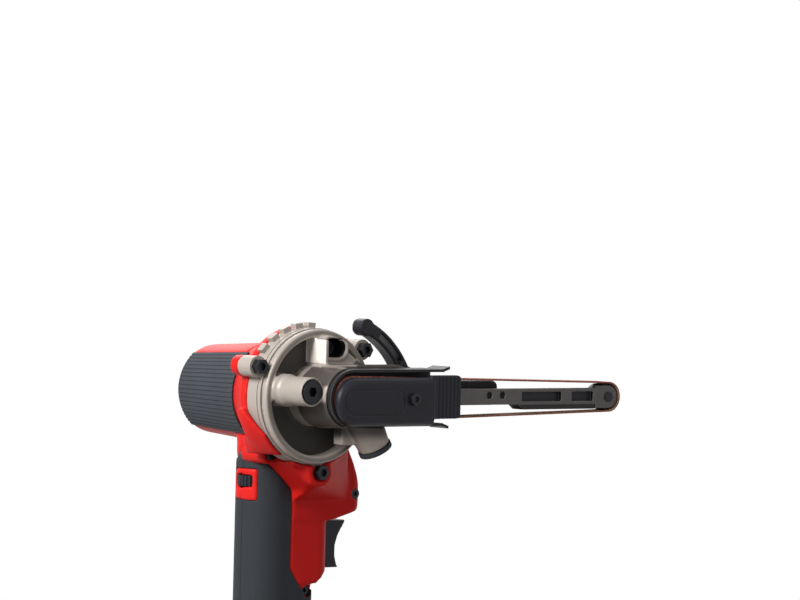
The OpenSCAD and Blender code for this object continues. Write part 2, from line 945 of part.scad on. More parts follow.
module pulley_nut() {
  color(steel)
    at_axis()
      difference() {
        rod(nut_r, pulley_out_1 - nut_sink, pulley_out_1 - nut_sink + nut_h, $fn = 6);
        rod(shaft_r + shaft_gap, pulley_out_1 - nut_sink - overrun, pulley_out_1);
      }
}

// Belt loop: inner radii at the pulley and at the roller, and the distance between them
belt_pulley_r = pulley_r + gap;
belt_roller_r = roller_r + gap;
loop_steps = 40;
straight_len = (belt_len - PI * (belt_pulley_r + belt_roller_r + belt_t)) / 2;
tip_x = straight_len - pow(belt_pulley_r - belt_roller_r, 2) / (2 * straight_len);

// Outline of the loop, grown from its inner face: two arcs joined by their tangents
module belt_loop(grow) {
  tilt = acos((belt_pulley_r - belt_roller_r) / tip_x);
  polygon(concat(
    arc(0, 0, belt_pulley_r + grow, tilt, 360 - tilt, loop_steps),
    arc(tip_x, 0, belt_roller_r + grow, -tilt, tilt, loop_steps)
  ));
}

module sanding_belt() {
  color(belt_red)
    at_axis()
      slab(belt_out_0, belt_out_1)
        difference() {
          belt_loop(belt_t);
          belt_loop(0);
        }
}

// Swivel head
dish_back_out = seat_out + collar_plate + gap;
dish_spigot_r = collar_bore_r - gap;
rim_out = collar_end_out + gap;
dish_out = rim_out + rim_len;
floor_out = dish_out - dish_depth;
dish_recess_r = dish_r - dish_rim_w;
rim_round = 1;
hub_bore_r = 9;
hub_wall = 4;
neck_out = hub_out - neck_t;
neck_low = 12;
neck_top = 18.5;
neck_back = 8;
clamp_x = -25.3;
clamp_z = 4;
clamp_reach = 26;
clamp_out = dish_out + clamp_reach;
clamp_ring_t = 13;
clamp_ring_w = 1;
clamp_bore_r = 3.2;
clamp_head_r = 6.8;
clamp_head_h = 6;
window_out = dish_out + 5;
window_back = 4.5;
window_front = 9.7;
window_z = 28;
window_r = 5.4;
window_rim = 2.2;
window_depth = 12;
web_front = 28;
web_top = 31;
stop_x = -4.2;
stop_t = 3;
stop_low = 20;
stop_high = 33;
stop_reach = 9.7;
rail_out = hub_out - 5;
rail_near_out = hub_out + 5;
rail_low = 5;
rail_high = 9.3;
rail_round = 4;
slot_z = 1.5;
slot_head_half = 4;
slot_neck_half = 2.5;
slot_head_out_0 = rail_out + 2.5;
slot_head_out_1 = slot_head_out_0 + 4.5;
slot_start = block_front + 2;
post_x = 40.5;
post_r = 5;
post_bore_r = 1.7;
cover_out = pulley_out_1 + gap;
block_out = dish_out + 1;
block_low = 8;
pin_r = 2.5;
lever_cx = 13;
lever_cz = -12;
lever_depth = 7.5;
lever_rail_t = 2.2;
lever_angle_0 = 24;
lever_angle_1 = 68;
lever_pad_angle = 11;
lever_slot_angle = 10;
lever_mid_r = lever_r - lever_depth / 2;
pivot_x = lever_cx + lever_mid_r * cos(lever_angle_0);
pivot_z = lever_cz + lever_mid_r * sin(lever_angle_0);
lever_out_1 = block_out - gap;
lever_out_0 = lever_out_1 - lever_w;
lever_hub_r = 6.5;
lever_thumb_r = 5;
guard_lift = 0.5;
shroud_t = 1.3;
hub_r = guard_r + shroud_t;
shroud_reach = 12.5;
shroud_half_angle = 85;
port_floor = 12;
duct_shift = 5;
duct_r = 4.5;
port_x = 20.4;
port_out = hub_out + 2;
port_start_drop = 10;
port_cut_drop = guard_r - guard_lift + gap;
knob_x = 95;
knob_stem_r = 2.5;

module port_axis() {
  translate([port_x, -port_out, -port_start_drop])
    rotate([0, 180 - port_lean, 0])
      children();
}

module neck_profile() {
  circle(hub_r);
  polygon([
    [0, -neck_low], [block_front, -neck_low], [block_front, block_low + slot_head_half],
    [block_front - block_len, neck_top], [-neck_back, neck_top], [-neck_back, 0]
  ]);
}

module swivel_head() {
  color(pale_metal)
    at_axis()
      difference() {
        union() {
          revolve([
            [hub_bore_r, dish_back_out], [dish_spigot_r, dish_back_out], [dish_spigot_r, rim_out],
            [dish_r, rim_out], [dish_r, dish_out - rim_round], [dish_r - rim_round, dish_out],
            [dish_recess_r, dish_out], [dish_recess_r, floor_out],
            [hub_bore_r + hub_wall, floor_out], [hub_bore_r + hub_wall, hub_out],
            [hub_bore_r, hub_out]
          ]);
          slab(neck_out, hub_out)
            neck_profile();
          intersection() {
            slab(floor_out - overrun, window_out)
              stadium(window_back, window_front, window_z, window_r + window_rim);
            rod(dish_spigot_r - overrun, floor_out - 2 * overrun, window_out + overrun);
          }
          slab(floor_out - 2 * overrun, window_out - overrun)
            polygon([
              [stop_x + overrun, 0], [web_front, 0], [web_front, neck_top], [window_front, web_top],
              [stop_x + overrun, web_top]
            ]);
          box([stop_x, -dish_out - stop_reach, stop_low],
              [stop_x + stop_t, -floor_out + overrun, stop_high]);
          box([stop_x, -dish_out - overrun / 2, 0], [stop_x + stop_t, -floor_out + overrun, window_z]);
          rod(clamp_boss_r, floor_out - overrun, clamp_out, clamp_x, clamp_z);
          rod(clamp_boss_r + clamp_ring_w, floor_out - overrun, floor_out + clamp_ring_t,
              clamp_x, clamp_z);
          box([block_front - block_len, -hub_out, 0], [block_front, -block_out, block_top]);
          slab(rail_out, rail_near_out)
            round_bar(block_front - overrun, rail_end, -rail_low, rail_high, rail_round);
          rod(post_r, hub_out - overrun, cover_out - gap, post_x, 0);
          rod(hub_r, floor_out - overrun, guard_back_out, 0, guard_lift);
          translate([0, 0, guard_lift])
            ring_arc(guard_r + seat_gap, hub_r - seat_gap, guard_back_out - overrun,
                     guard_back_out + shroud_reach, 180 - shroud_half_angle, 180 + shroud_half_angle);
          for (p = guard_screw_places)
            rod(guard_boss_r, hub_out - overrun, guard_back_out, p[0], p[1]);
          difference() {
            union() {
              port_axis()
                cylinder(r1 = port_r, r2 = port_end_r, h = port_len);
              box([port_x - port_r, -hub_out, -port_cut_drop - port_r],
                  [port_x + port_r, -neck_out, 0]);
            }
            box([-half_space, -half_space, -port_cut_drop], [half_space, -hub_out, half_space]);
          }
        }
        rod(hub_bore_r, dish_back_out - overrun, guard_back_out + overrun);
        slab(window_out - window_depth, window_out + overrun)
          stadium(window_back, window_front, window_z, window_r);
        rod(clamp_bore_r, dish_back_out - overrun, clamp_out + overrun, clamp_x, clamp_z);
        rod(clamp_head_r + gap, clamp_out - clamp_head_h - gap, guard_back_out + shroud_reach + overrun,
            clamp_x, clamp_z);
        port_axis() {
          translate([0, 0, port_floor])
            cylinder(r = port_bore_r, h = port_len);
          translate([0, -duct_shift, 0])
            cylinder(r = duct_r, h = port_len / 2);
        }
        box([slot_start, -slot_head_out_1, slot_z - slot_head_half],
            [rail_end + overrun, -slot_head_out_0, slot_z + slot_head_half]);
        box([slot_start, -rail_near_out - overrun, slot_z - slot_neck_half],
            [rail_end + overrun, -slot_head_out_0, slot_z + slot_neck_half]);
        rod(knob_stem_r + gap, rail_out - overrun, slot_head_out_0 + overrun, knob_x, slot_z);
        rod(pin_r + seat_gap, block_out - overrun, block_out + pin_sink, pivot_x, pivot_z);
        rod(post_bore_r, guard_back_out, cover_out, post_x, 0);
        for (p = guard_screw_places)
          rod(guard_screw_r + seat_gap, guard_back_out - guard_screw_len, guard_back_out + overrun,
              p[0], p[1]);
      }
}

// Bar seen from the side with a round front end
module round_bar(x_0, x_1, z_0, z_1, r) {
  translate([x_0, z_0])
    square([x_1 - x_0 - r, z_1 - z_0]);
  translate([x_0, z_0 + r])
    square([x_1 - x_0, z_1 - z_0 - 2 * r]);
  for (z = [z_0 + r, z_1 - r])
    translate([x_1 - r, z])
      circle(r);
}

pin_sink = 8;
hex_r = 3;
hex_depth = 4;

module clamp_screw() {
  color(black_plastic)
    at_axis()
      difference() {
        union() {
          rod(clamp_head_r, clamp_out - clamp_head_h, clamp_out, clamp_x, clamp_z);
          rod(clamp_bore_r - gap, dish_back_out, clamp_out - gap, clamp_x, clamp_z);
        }
        translate([clamp_x, -clamp_out + hex_depth, clamp_z])
          rotate([90, 0, 0])
            cylinder(r = hex_r, h = hex_depth + overrun, $fn = 6);
      }
}

// Guard
guard_boss_r = 4;
guard_screw_r = 1.5;
guard_screw_len = 6;
guard_screw_head_r = 2.8;
guard_screw_head_h = 1.6;
guard_screw_places = [[26, 8], [26, -8]];
guard_out = pulley_out_1;
lip_len = 4;
lip_rise = 1.6;
dust_hole_r = 8;

module guard_outline(inset) {
  r = guard_r - inset;
  translate([0, guard_lift])
    circle(r);
  translate([0, guard_lift - r])
    square([guard_front, 2 * r]);
}

module belt_guard() {
  color(dark_metal)
    at_axis()
      difference() {
        union() {
          slab(guard_back_out, guard_back_out + guard_t)
            guard_outline(0);
          slab(guard_back_out, guard_out) {
            difference() {
              guard_outline(0);
              guard_outline(guard_t);
              translate([guard_front - overrun, guard_lift - guard_r + guard_t])
                square([2 * overrun, 2 * (guard_r - guard_t)]);
            }
            for (side = [-1, 1])
              translate([0, guard_lift])
                polygon([
                  [guard_front - overrun, side * (guard_r - guard_t)],
                  [guard_front + lip_len, side * (guard_r - guard_t + lip_rise)],
                  [guard_front + lip_len, side * (guard_r + lip_rise)],
                  [guard_front - overrun, side * guard_r]
                ]);
          }
        }
        rod(hub_bore_r, guard_back_out - overrun, guard_back_out + guard_t + overrun);
        rod(post_r + seat_gap, guard_back_out - overrun, guard_back_out + guard_t + overrun,
            post_x, 0);
        for (p = guard_screw_places)
          rod(guard_screw_r + seat_gap, guard_back_out - overrun,
              guard_back_out + guard_t + overrun, p[0], p[1]);
        translate([port_x + overrun, -(belt_out_0 + belt_out_1) / 2, -guard_r - overrun])
          cylinder(r = dust_hole_r - 2 * overrun, h = guard_r / 2);
      }
}

module guard_screws() {
  head_out = guard_back_out + guard_t;
  color(steel)
    at_axis()
      for (p = guard_screw_places)
        translate([p[0], 0, p[1]]) {
          rod(guard_screw_r, head_out - guard_screw_len, head_out);
          difference() {
            rod(guard_screw_head_r, head_out, head_out + guard_screw_head_h);
            rod(socket_r, head_out + guard_screw_head_h / 2, head_out + 2 * guard_screw_head_h,
                $fn = 6);
          }
        }
}

ring_len = 2.6;
ring_wall = 0.6;

module dust_port_ring() {
  color(black_plastic)
    at_axis()
      port_axis()
        translate([0, 0, port_len])
          difference() {
            cylinder(r = port_end_r + ring_wall, h = ring_len);
            translate([0, 0, -overrun])
              cylinder(r = port_bore_r, h = ring_len + 2 * overrun);
          }
}

// Cover with its ribbed finger block
cover_plate_front = 56;
cover_drop = 1.5;
cover_round = 3.6;
cover_steps = 4;
emboss_back = -2.3;
emboss_front = 27;
emboss_r = 7.7;
emboss_w = 1.1;
emboss_depth = 0.6;
finger_low = 11.5;
finger_high = 13.5;
finger_t = 4.4;
finger_ribs = 6;
finger_rib_depth = 0.8;
finger_round = 2.5;
cover_screw_head_r = 3.6;
cover_screw_head_h = 2.2;
cover_screw_r = 1.6;
cover_screw_len = 12;

module cover_outline(inset) {
  translate([0, -cover_drop]) {
    circle(cover_r - inset);
    translate([0, inset - cover_r])
      square([cover_plate_front, 2 * (cover_r - inset)]);
  }
}

module pulley_cover() {
  rib_pitch = finger_len / (finger_ribs + 1);
  color(black_plastic)
    at_axis()
      difference() {
        union() {
          hull()
            for (i = [0 : cover_steps])
              slab(cover_out, cover_out + cover_t + cover_round * (sin(90 * i / cover_steps) - 1))
                cover_outline(cover_round * (1 - cos(90 * i / cover_steps)));
          slab(cover_out + gap, cover_out + finger_t)
            round_bar(cover_plate_front - 2 * overrun, cover_plate_front + finger_len, -finger_low,
                      finger_high, finger_round);
        }
        slab(cover_out + cover_t - emboss_depth, cover_out + cover_t + overrun)
          difference() {
            stadium(emboss_back, emboss_front, -cover_drop, emboss_r);
            stadium(emboss_back, emboss_front, -cover_drop, emboss_r - emboss_w);
          }
        for (i = [1 : finger_ribs])
          box([cover_plate_front + i * rib_pitch, -cover_out - finger_t - overrun, -half_space],
              [cover_plate_front + i * rib_pitch + rib_pitch / 2,
               -cover_out - finger_t + finger_rib_depth, half_space]);
        rod(cover_screw_r + seat_gap, cover_out - overrun, cover_out + cover_t + overrun, post_x, 0);
      }
}

module cover_screw() {
  head_out = cover_out + cover_t;
  color(dark_metal)
    at_axis()
      translate([post_x, 0, 0])
        difference() {
          union() {
            rod(cover_screw_head_r, head_out, head_out + cover_screw_head_h);
            rod(cover_screw_r, head_out - cover_screw_len, head_out);
          }
          rod(socket_r + overrun / 2, head_out + cover_screw_head_h / 2,
              head_out + 2 * cover_screw_head_h, $fn = 6);
        }
}

// Lever
module lever_arc(r_0, r_1, angle_0, angle_1, over) {
  translate([lever_cx, 0, lever_cz])
    ring_arc(r_0, r_1, lever_out_0 - over, lever_out_1 + over, angle_0, angle_1);
}

module belt_lever() {
  color(black_plastic)
    at_axis()
      difference() {
        union() {
          lever_arc(lever_r - lever_depth, lever_r, lever_angle_0, lever_angle_1, 0);
          rod(lever_hub_r, lever_out_0, lever_out_1, pivot_x, pivot_z);
          rod(lever_thumb_r, lever_out_0 + gap, lever_out_1 - gap,
              lever_cx + lever_mid_r * cos(lever_angle_1), lever_cz + lever_mid_r * sin(lever_angle_1));
        }
        lever_arc(lever_r - lever_depth + lever_rail_t, lever_r - lever_rail_t,
                  lever_angle_0 + lever_slot_angle, lever_angle_1 - lever_pad_angle, overrun);
        rod(pin_r + gap, lever_out_0 - overrun, lever_out_1 + overrun, pivot_x, pivot_z);
      }
}

pin_head_r = 4;
pin_head_h = 1.4;

module lever_pin() {
  color(steel)
    at_axis() {
      rod(pin_r, lever_out_0 - gap, block_out + pin_sink - overrun, pivot_x, pivot_z);
      rod(pin_head_r, lever_out_0 - gap - pin_head_h, lever_out_0 - gap, pivot_x, pivot_z);
    }
}

// Tracking knob
knob_len = 11;
knob_scallops = 18;
scallop_r = 0.9;
knob_out_1 = rail_out - gap;

module tracking_knob() {
  color(black_plastic)
    at_axis()
      translate([knob_x, 0, slot_z]) {
        slab(knob_out_1 - knob_len, knob_out_1)
          difference() {
            circle(knob_r);
            for (i = [0 : knob_scallops - 1])
              rotate(i * 360 / knob_scallops)
                translate([knob_r, 0])
                  circle(scallop_r);
          }
        rod(knob_stem_r, knob_out_1 - overrun, slot_head_out_0 - gap);
      }
}

// Carriage of the arm and the spring behind it
spring_block_len = 13;
slide_start = slot_start + arm_travel + spring_block_len;
slide_end = rail_end - 2;
spring_r = 1.5;
wire_r = 0.4;
spring_turns = 8;
spring_rings = 8;
wire_sides = 6;
spring_out = (slot_head_out_0 + slot_head_out_1) / 2;
bar_out_0 = belt_out_0 + 3.4;
bar_out_1 = belt_out_1 - overrun / 2;

module arm_slide() {
  color(steel)
    at_axis()
      difference() {
        union() {
          box([slide_start, -slot_head_out_1 + gap, slot_z - slot_head_half + gap],
              [slide_end, -slot_head_out_0 - gap, slot_z + slot_head_half - gap]);
          box([slide_start, -bar_out_0, slot_z - slot_neck_half + gap],
              [slide_end, -slot_head_out_0 - overrun, slot_z + slot_neck_half - gap]);
        }
        for (x = arm_screw_xs)
          rod(arm_screw_r + seat_gap, bar_out_0 - arm_screw_grip - overrun, bar_out_0 + overrun,
              x, slot_z);
      }
}

// Points of the coil along its axis, evenly turned
function coil_point(i) =
  let (a = 360 * i / spring_rings)
    [
      slot_start + wire_r + (spring_len - 2 * wire_r) * i / (spring_turns * spring_rings),
      -spring_out + spring_r * cos(a), slot_z + spring_r * sin(a)
    ];
spring_len = slide_start - slot_start;
coil_count = spring_turns * spring_rings;

// One ring of the wire's skin: the wire's section turned to face along the coil
function wire_ring(i) =
  let (a = 360 * i / spring_rings, p = coil_point(i))
    [
      for (s = [0 : wire_sides - 1])
        let (w = 360 * s / wire_sides)
          p + wire_r * [sin(w), cos(w) * cos(a), cos(w) * sin(a)]
    ];

coil_pitch = (spring_len - 2 * wire_r) / spring_turns;
echo(coil_gap = coil_pitch - 2 * wire_r);

module tension_spring() {
  points = [for (i = [0 : coil_count]) each wire_ring(i)];
  sides = [
    for (i = [0 : coil_count - 1])
      for (s = [0 : wire_sides - 1])
        let (t = (s + 1) % wire_sides, a = i * wire_sides, b = a + wire_sides)
          each [[a + s, a + t, b + t], [a + s, b + t, b + s]]
  ];
  first = [for (s = [1 : wire_sides - 2]) [0, s + 1, s]];
  base = coil_count * wire_sides;
  last = [for (s = [1 : wire_sides - 2]) [base, base + s, base + s + 1]];
  color(steel)
    at_axis()
      polyhedron(points, concat(sides, first, last));
}

// Arm
bar_start = 60;
bar_low = bar_h / 2 - 0.5;
bar_high = bar_h - bar_low;
tip_clear = 1.5;
cheek_t = 2.5;
cheek_r = 6.6;
cheek_out = bar_out_1 - cheek_t;
spine_end = tip_x - roller_r - tip_clear;
axle_r = 2;
arm_screw_offsets = [7, 17];
arm_screw_xs = [for (offset = arm_screw_offsets) knob_x + offset];
arm_screw_r = 1.5;
arm_screw_grip = 4;
arm_screw_head_r = 2.2;
arm_screw_head_h = 1.4;
pocket_spans = [[127, 158], [166, 183]];
pocket_wall = 1.6;
pocket_r = 1.2;

module arm_bar() {
  color(dark_metal)
    at_axis()
      difference() {
        union() {
          slab(bar_out_0, bar_out_1)
            translate([bar_start, -bar_low])
              square([spine_end - bar_start, bar_h]);
          slab(cheek_out, bar_out_1) {
            translate([spine_end - overrun, -cheek_r])
              square([tip_x - spine_end + overrun, 2 * cheek_r]);
            translate([tip_x, 0])
              circle(cheek_r);
          }
        }
        for (span = pocket_spans)
          slab(bar_out_1 - pocket_depth, bar_out_1 + overrun)
            round_bar(span[0], span[1], pocket_wall - bar_low, bar_high - pocket_wall, pocket_r);
        rod(axle_r + shaft_gap, cheek_out - overrun, bar_out_1 + overrun, tip_x, 0);
        for (x = arm_screw_xs) {
          rod(arm_screw_r + seat_gap, bar_out_0 - overrun, bar_out_1 + overrun, x, slot_z);
          rod(arm_screw_head_r + seat_gap, bar_out_1 - arm_screw_head_h - overrun,
              bar_out_1 + overrun, x, slot_z);
        }
      }
}

module arm_screws() {
  head_out = bar_out_1 - arm_screw_head_h - overrun;
  color(steel)
    at_axis()
      for (x = arm_screw_xs)
        translate([x, 0, slot_z])
          difference() {
            union() {
              rod(arm_screw_r, bar_out_0 - arm_screw_grip, head_out);
              rod(arm_screw_head_r, head_out, head_out + arm_screw_head_h);
            }
            rod(socket_r - seat_gap, head_out + arm_screw_head_h / 2,
                head_out + 2 * arm_screw_head_h, $fn = 6);
          }
}

platen_start = 124;
platen_end = 184;
platen_t = 3;
platen_lead = 4;

module platen() {
  color(steel)
    at_axis()
      slab(bar_out_0, bar_out_1)
        polygon([
          [platen_start, -bar_low], [platen_start + platen_lead, -bar_low - platen_t],
          [platen_end, -bar_low - platen_t], [platen_end, -bar_low]
        ]);
}

roller_out_0 = belt_out_0 + overrun / 2;
roller_out_1 = cheek_out - gap;
roller_flank = 1.5;

module tip_roller() {
  middle = (roller_out_0 + roller_out_1) / 2;
  color(steel)
    at_axis()
      translate([tip_x, 0, 0])
        revolve([
          [axle_r + shaft_gap, roller_out_0], [roller_r - crown, roller_out_0],
          [roller_r, middle - roller_flank], [roller_r, middle + roller_flank],
          [roller_r - crown, roller_out_1], [axle_r + shaft_gap, roller_out_1]
        ]);
}

axle_head_r = 3;
axle_head_h = 0.8;

module roller_axle() {
  color(steel)
    at_axis()
      translate([tip_x, 0, 0]) {
        rod(axle_r, roller_out_0, bar_out_1);
        rod(axle_head_r, bar_out_1, bar_out_1 + axle_head_h);
      }
}

// Trigger and the switch behind it
trigger_back = 3;
trigger_toe = 6;
trigger_hollow = 13;
trigger_steps = 10;
trigger_edge_r = 3;
stem_half_w = 4;
stem_half_h = (trigger_end_drop - trigger_top_drop) / 5;
stem_len = 12;
stem_drop = (trigger_top_drop + trigger_end_drop) / 2;
switch_half_w = 10;
switch_back = 5.5;
switch_top_drop = trigger_top_drop;
switch_end_drop = trigger_end_drop;
switch_front = core_front - gap;

module trigger() {
  x_0 = trigger_house_front - trigger_back;
  x_1 = trigger_house_front + trigger_reach;
  color(black_plastic)
    at_axis() {
      intersection() {
        slab(-trigger_half_w, trigger_half_w)
          polygon(concat(
            [[x_0, -trigger_end_drop], [x_0, -trigger_top_drop]],
            [
              for (i = [0 : trigger_steps])
                let (t = i / trigger_steps)
                  [x_1 - 2 * t * (1 - t) * trigger_hollow - t * t * trigger_toe,
                   -trigger_top_drop - t * (trigger_end_drop - trigger_top_drop)]
            ]
          ));
        translate([0, 0, -trigger_end_drop - overrun])
          linear_extrude(trigger_end_drop - trigger_top_drop + 2 * overrun)
            round_plan(x_0, x_1, trigger_half_w, overrun, trigger_edge_r);
      }
      box([x_0 - stem_len, -stem_half_w, -stem_drop - stem_half_h],
          [x_0 + overrun, stem_half_w, -stem_drop + stem_half_h]);
    }
}

module switch_module() {
  color(black_plastic)
    at_axis()
      difference() {
        union() {
          box([-switch_back, -switch_half_w, -switch_end_drop],
              [switch_front, switch_half_w, -switch_top_drop]);
          box([-core_back + seat_gap, -switch_half_w / 2, -switch_end_drop + switch_back],
              [-switch_back, switch_half_w / 2, -switch_top_drop - switch_back]);
        }
        box([trigger_house_front - trigger_back - stem_len - trigger_travel - gap,
             -stem_half_w - gap, -stem_drop - stem_half_h - gap],
            [switch_front + overrun, stem_half_w + gap, -stem_drop + stem_half_h + gap]);
      }
}

board_t = 1.6;
board_top_drop = 106;
board_half_w = 11;
board_x = 4;
chip_len = 12;
chip_t = 4;
coil_r = 4;
coil_h = 9;

module speed_controller() {
  color([0.15, 0.35, 0.22])
    at_axis() {
      box([board_x, -core_half_w + seat_gap, -core_end_drop + seat_gap],
          [board_x + board_t, core_half_w - seat_gap, -board_top_drop]);
      for (side = [-1, 1])
        translate([board_x + board_t, side * board_half_w / 2, -board_top_drop - chip_len])
          rotate([0, 90, 0])
            cylinder(r = coil_r, h = coil_h);
      box([board_x - chip_t, -board_half_w / 2, -core_end_drop + chip_len],
          [board_x, board_half_w / 2, -core_end_drop + 2 * chip_len]);
    }
}

// Speed dial and its potentiometer
dial_teeth = 24;
tooth_r = 0.7;
pot_r = 6;
pot_h = 5;
pot_shaft_r = 1.5;

module speed_dial() {
  color(black_plastic)
    at_axis()
      translate([dial_x, 0, -dial_drop - dial_t / 2])
        linear_extrude(dial_t)
          difference() {
            circle(dial_r);
            circle(pot_shaft_r + shaft_gap);
            for (i = [0 : dial_teeth - 1])
              rotate(i * 360 / dial_teeth)
                translate([dial_r, 0])
                  circle(tooth_r);
          }
}

module dial_pot() {
  color(dark_metal)
    at_axis()
      translate([dial_x, 0, -dial_drop - dial_t / 2 - gap]) {
        translate([0, 0, -pot_h])
          cylinder(r = pot_r, h = pot_h);
        cylinder(r = pot_shaft_r, h = dial_t);
      }
}

// Battery contacts in the foot
terminal_half_w = 18;
blade_w = 1;
blade_len = 18;
blade_h = 3.6;
blade_ys = [-12, 0, 12];
terminal_front = -tongue_back - 2 * overrun;

module terminal_block() {
  color(black_plastic)
    difference() {
      box([-channel_back + seat_gap, -terminal_half_w, channel_z],
          [terminal_front, terminal_half_w, channel_z + tongue_head_h]);
      for (y = blade_ys)
        box([terminal_front - blade_len / 3, y - blade_w / 2, channel_z],
            [terminal_front + overrun, y + blade_w / 2, channel_z + blade_h]);
    }
}

module terminal_blades() {
  color(copper)
    for (y = blade_ys)
      box([terminal_front - blade_len / 3, y - blade_w / 2, channel_z],
          [terminal_front + blade_len, y + blade_w / 2, channel_z + blade_h]);
}

// Battery
battery_r = 9;
battery_split = 28;
cell_r = 9;
cell_len = 65;
cell_pitch = 18.4;
cell_rows = 2;
cells_in_row = 5;
cell_mid_x = (battery_front - battery_back) / 2;
cell_low = battery_wall + seat_gap;
latch_half_w = 11;
latch_low = 30.5;
latch_high = 38.5;
latch_depth = 7;
latch_proud = 2;
latch_travel = 3;
side_groove_h = 3;
side_groove_depth = 1.2;
side_groove_z = 14;

module battery_plan(inset) {
  round_plan(-battery_back + inset, battery_front - inset, battery_half_w - inset,
             battery_r - inset, battery_r - inset);
}

module battery_case() {
  color(soft_grey)
    difference() {
      linear_extrude(battery_split)
        battery_plan(0);
      translate([0, 0, battery_wall])
        linear_extrude(battery_split)
          battery_plan(battery_wall);
      for (side = [-1, 1])
        translate([0, side * battery_half_w, side_groove_z])
          box([-half_space, -side_groove_depth, 0], [half_space, side_groove_depth, side_groove_h]);
    }
}

module battery_lid() {
  color(red)
    difference() {
      union() {
        translate([0, 0, battery_split])
          linear_extrude(battery_h - battery_split)
            battery_plan(0);
        box([-tongue_back, -tongue_neck_half_w, battery_h - overrun],
            [tongue_front, tongue_neck_half_w, channel_z + overrun]);
        box([-tongue_back, -tongue_head_half_w, channel_z],
            [tongue_front, tongue_head_half_w, channel_z + tongue_head_h]);
      }
      translate([0, 0, battery_split - overrun])
        linear_extrude(battery_h - battery_split + overrun - battery_wall)
          battery_plan(battery_wall);
      box([battery_front - latch_depth - latch_travel, -latch_half_w - gap, latch_low - gap],
          [battery_front + overrun, latch_half_w + gap, latch_high + gap]);
      for (y = blade_ys)
        box([-tongue_back - overrun, y - blade_w / 2 - gap, channel_z - gap],
            [terminal_front + blade_len + gap, y + blade_w / 2 + gap,
             channel_z + blade_h + gap]);
    }
}

module battery_cells() {
  color([0.25, 0.45, 0.55])
    for (row = [0 : cell_rows - 1])
      for (i = [0 : cells_in_row - 1])
        translate([cell_mid_x + (i - (cells_in_row - 1) / 2) * cell_pitch, cell_len / 2,
                   cell_low + cell_r + row * cell_pitch])
          rotate([90, 0, 0])
            cylinder(r = cell_r, h = cell_len);
}

latch_ribs = 4;

module battery_latch() {
  rib_pitch = (latch_high - latch_low) / (latch_ribs + 1);
  color(black_plastic)
    difference() {
      box([battery_front - latch_depth, -latch_half_w, latch_low],
          [battery_front + latch_proud, latch_half_w, latch_high]);
      for (i = [1 : latch_ribs])
        box([battery_front + latch_proud / 2, -half_space, latch_low + i * rib_pitch],
            [battery_front + half_space, half_space, latch_low + i * rib_pitch + rib_pitch / 2]);
    }
}

left_housing();
right_housing();
barrel_grip();
left_grip();
right_grip();
housing_screws();
collar();
collar_bolts();
motor_can();
magnets();
brush_plate();
brushes();
rear_bearing();
front_bearing();
armature();
commutator();
cooling_fan();
motor_shaft();
drive_pulley();
pulley_nut();
swivel_head();
clamp_screw();
belt_guard();
guard_screws();
dust_port_ring();
pulley_cover();
cover_screw();
belt_lever();
lever_pin();
tracking_knob();
tension_spring();
arm_slide();
arm_bar();
arm_screws();
platen();
tip_roller();
roller_axle();
sanding_belt();
trigger();
switch_module();
speed_controller();
speed_dial();
dial_pot();
terminal_block();
terminal_blades();
battery_case();
battery_lid();
battery_cells();
battery_latch();
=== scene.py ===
import math

import bpy
from mathutils import Matrix, Vector


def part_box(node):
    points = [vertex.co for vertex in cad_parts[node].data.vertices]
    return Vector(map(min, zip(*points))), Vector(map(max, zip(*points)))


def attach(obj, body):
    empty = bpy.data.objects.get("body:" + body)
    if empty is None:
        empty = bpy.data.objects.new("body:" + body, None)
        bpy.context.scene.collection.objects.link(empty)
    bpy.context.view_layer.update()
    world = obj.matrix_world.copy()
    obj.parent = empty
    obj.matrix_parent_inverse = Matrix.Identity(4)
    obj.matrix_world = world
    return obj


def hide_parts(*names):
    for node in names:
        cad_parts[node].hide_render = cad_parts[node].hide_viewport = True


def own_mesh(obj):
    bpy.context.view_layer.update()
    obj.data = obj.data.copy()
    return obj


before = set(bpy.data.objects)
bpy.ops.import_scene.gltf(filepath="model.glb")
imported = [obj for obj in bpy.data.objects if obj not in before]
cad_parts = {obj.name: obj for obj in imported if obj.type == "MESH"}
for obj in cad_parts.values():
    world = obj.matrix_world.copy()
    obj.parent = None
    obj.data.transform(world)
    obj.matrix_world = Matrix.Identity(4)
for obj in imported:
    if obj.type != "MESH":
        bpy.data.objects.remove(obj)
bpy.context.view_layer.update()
scene = bpy.context.scene
scene.view_settings.view_transform = "Standard"
bpy.ops.object.select_all(action="DESELECT")

# Camera: a long lens at the tool's right rear, a little above the motor axis and slightly rolled,
# as in the photograph. It is aimed from the middle of the cast dish, by metres across and up the
# picture.
axis_height = 0.228
dish_middle = Vector((0, -0.046, axis_height))
azimuth, elevation, roll = math.radians(39.5), math.radians(1.25), math.radians(1.5)
distance, aim_right, aim_up = 2.5, 0.0460, 0.0552
pixels_per_metre, picture_width, sensor_width = 1752, 800, 36
ahead = Vector((
    math.sin(azimuth) * math.cos(elevation),
    math.cos(azimuth) * math.cos(elevation),
    -math.sin(elevation),
))
level = Vector((math.cos(azimuth), -math.sin(azimuth), 0))
upright = level.cross(ahead)
right = level * math.cos(roll) + upright * math.sin(roll)
up = upright * math.cos(roll) - level * math.sin(roll)
camera = bpy.data.objects.new("photo_camera", bpy.data.cameras.new("photo_camera"))
camera.data.sensor_width = sensor_width
camera.data.lens = pixels_per_metre * distance * sensor_width / picture_width
camera.matrix_world = Matrix.Translation(
    dish_middle + right * aim_right + up * aim_up - ahead * distance
) @ Matrix((right, up, -ahead)).transposed().to_4x4()
scene.collection.objects.link(camera)
scene.camera = camera

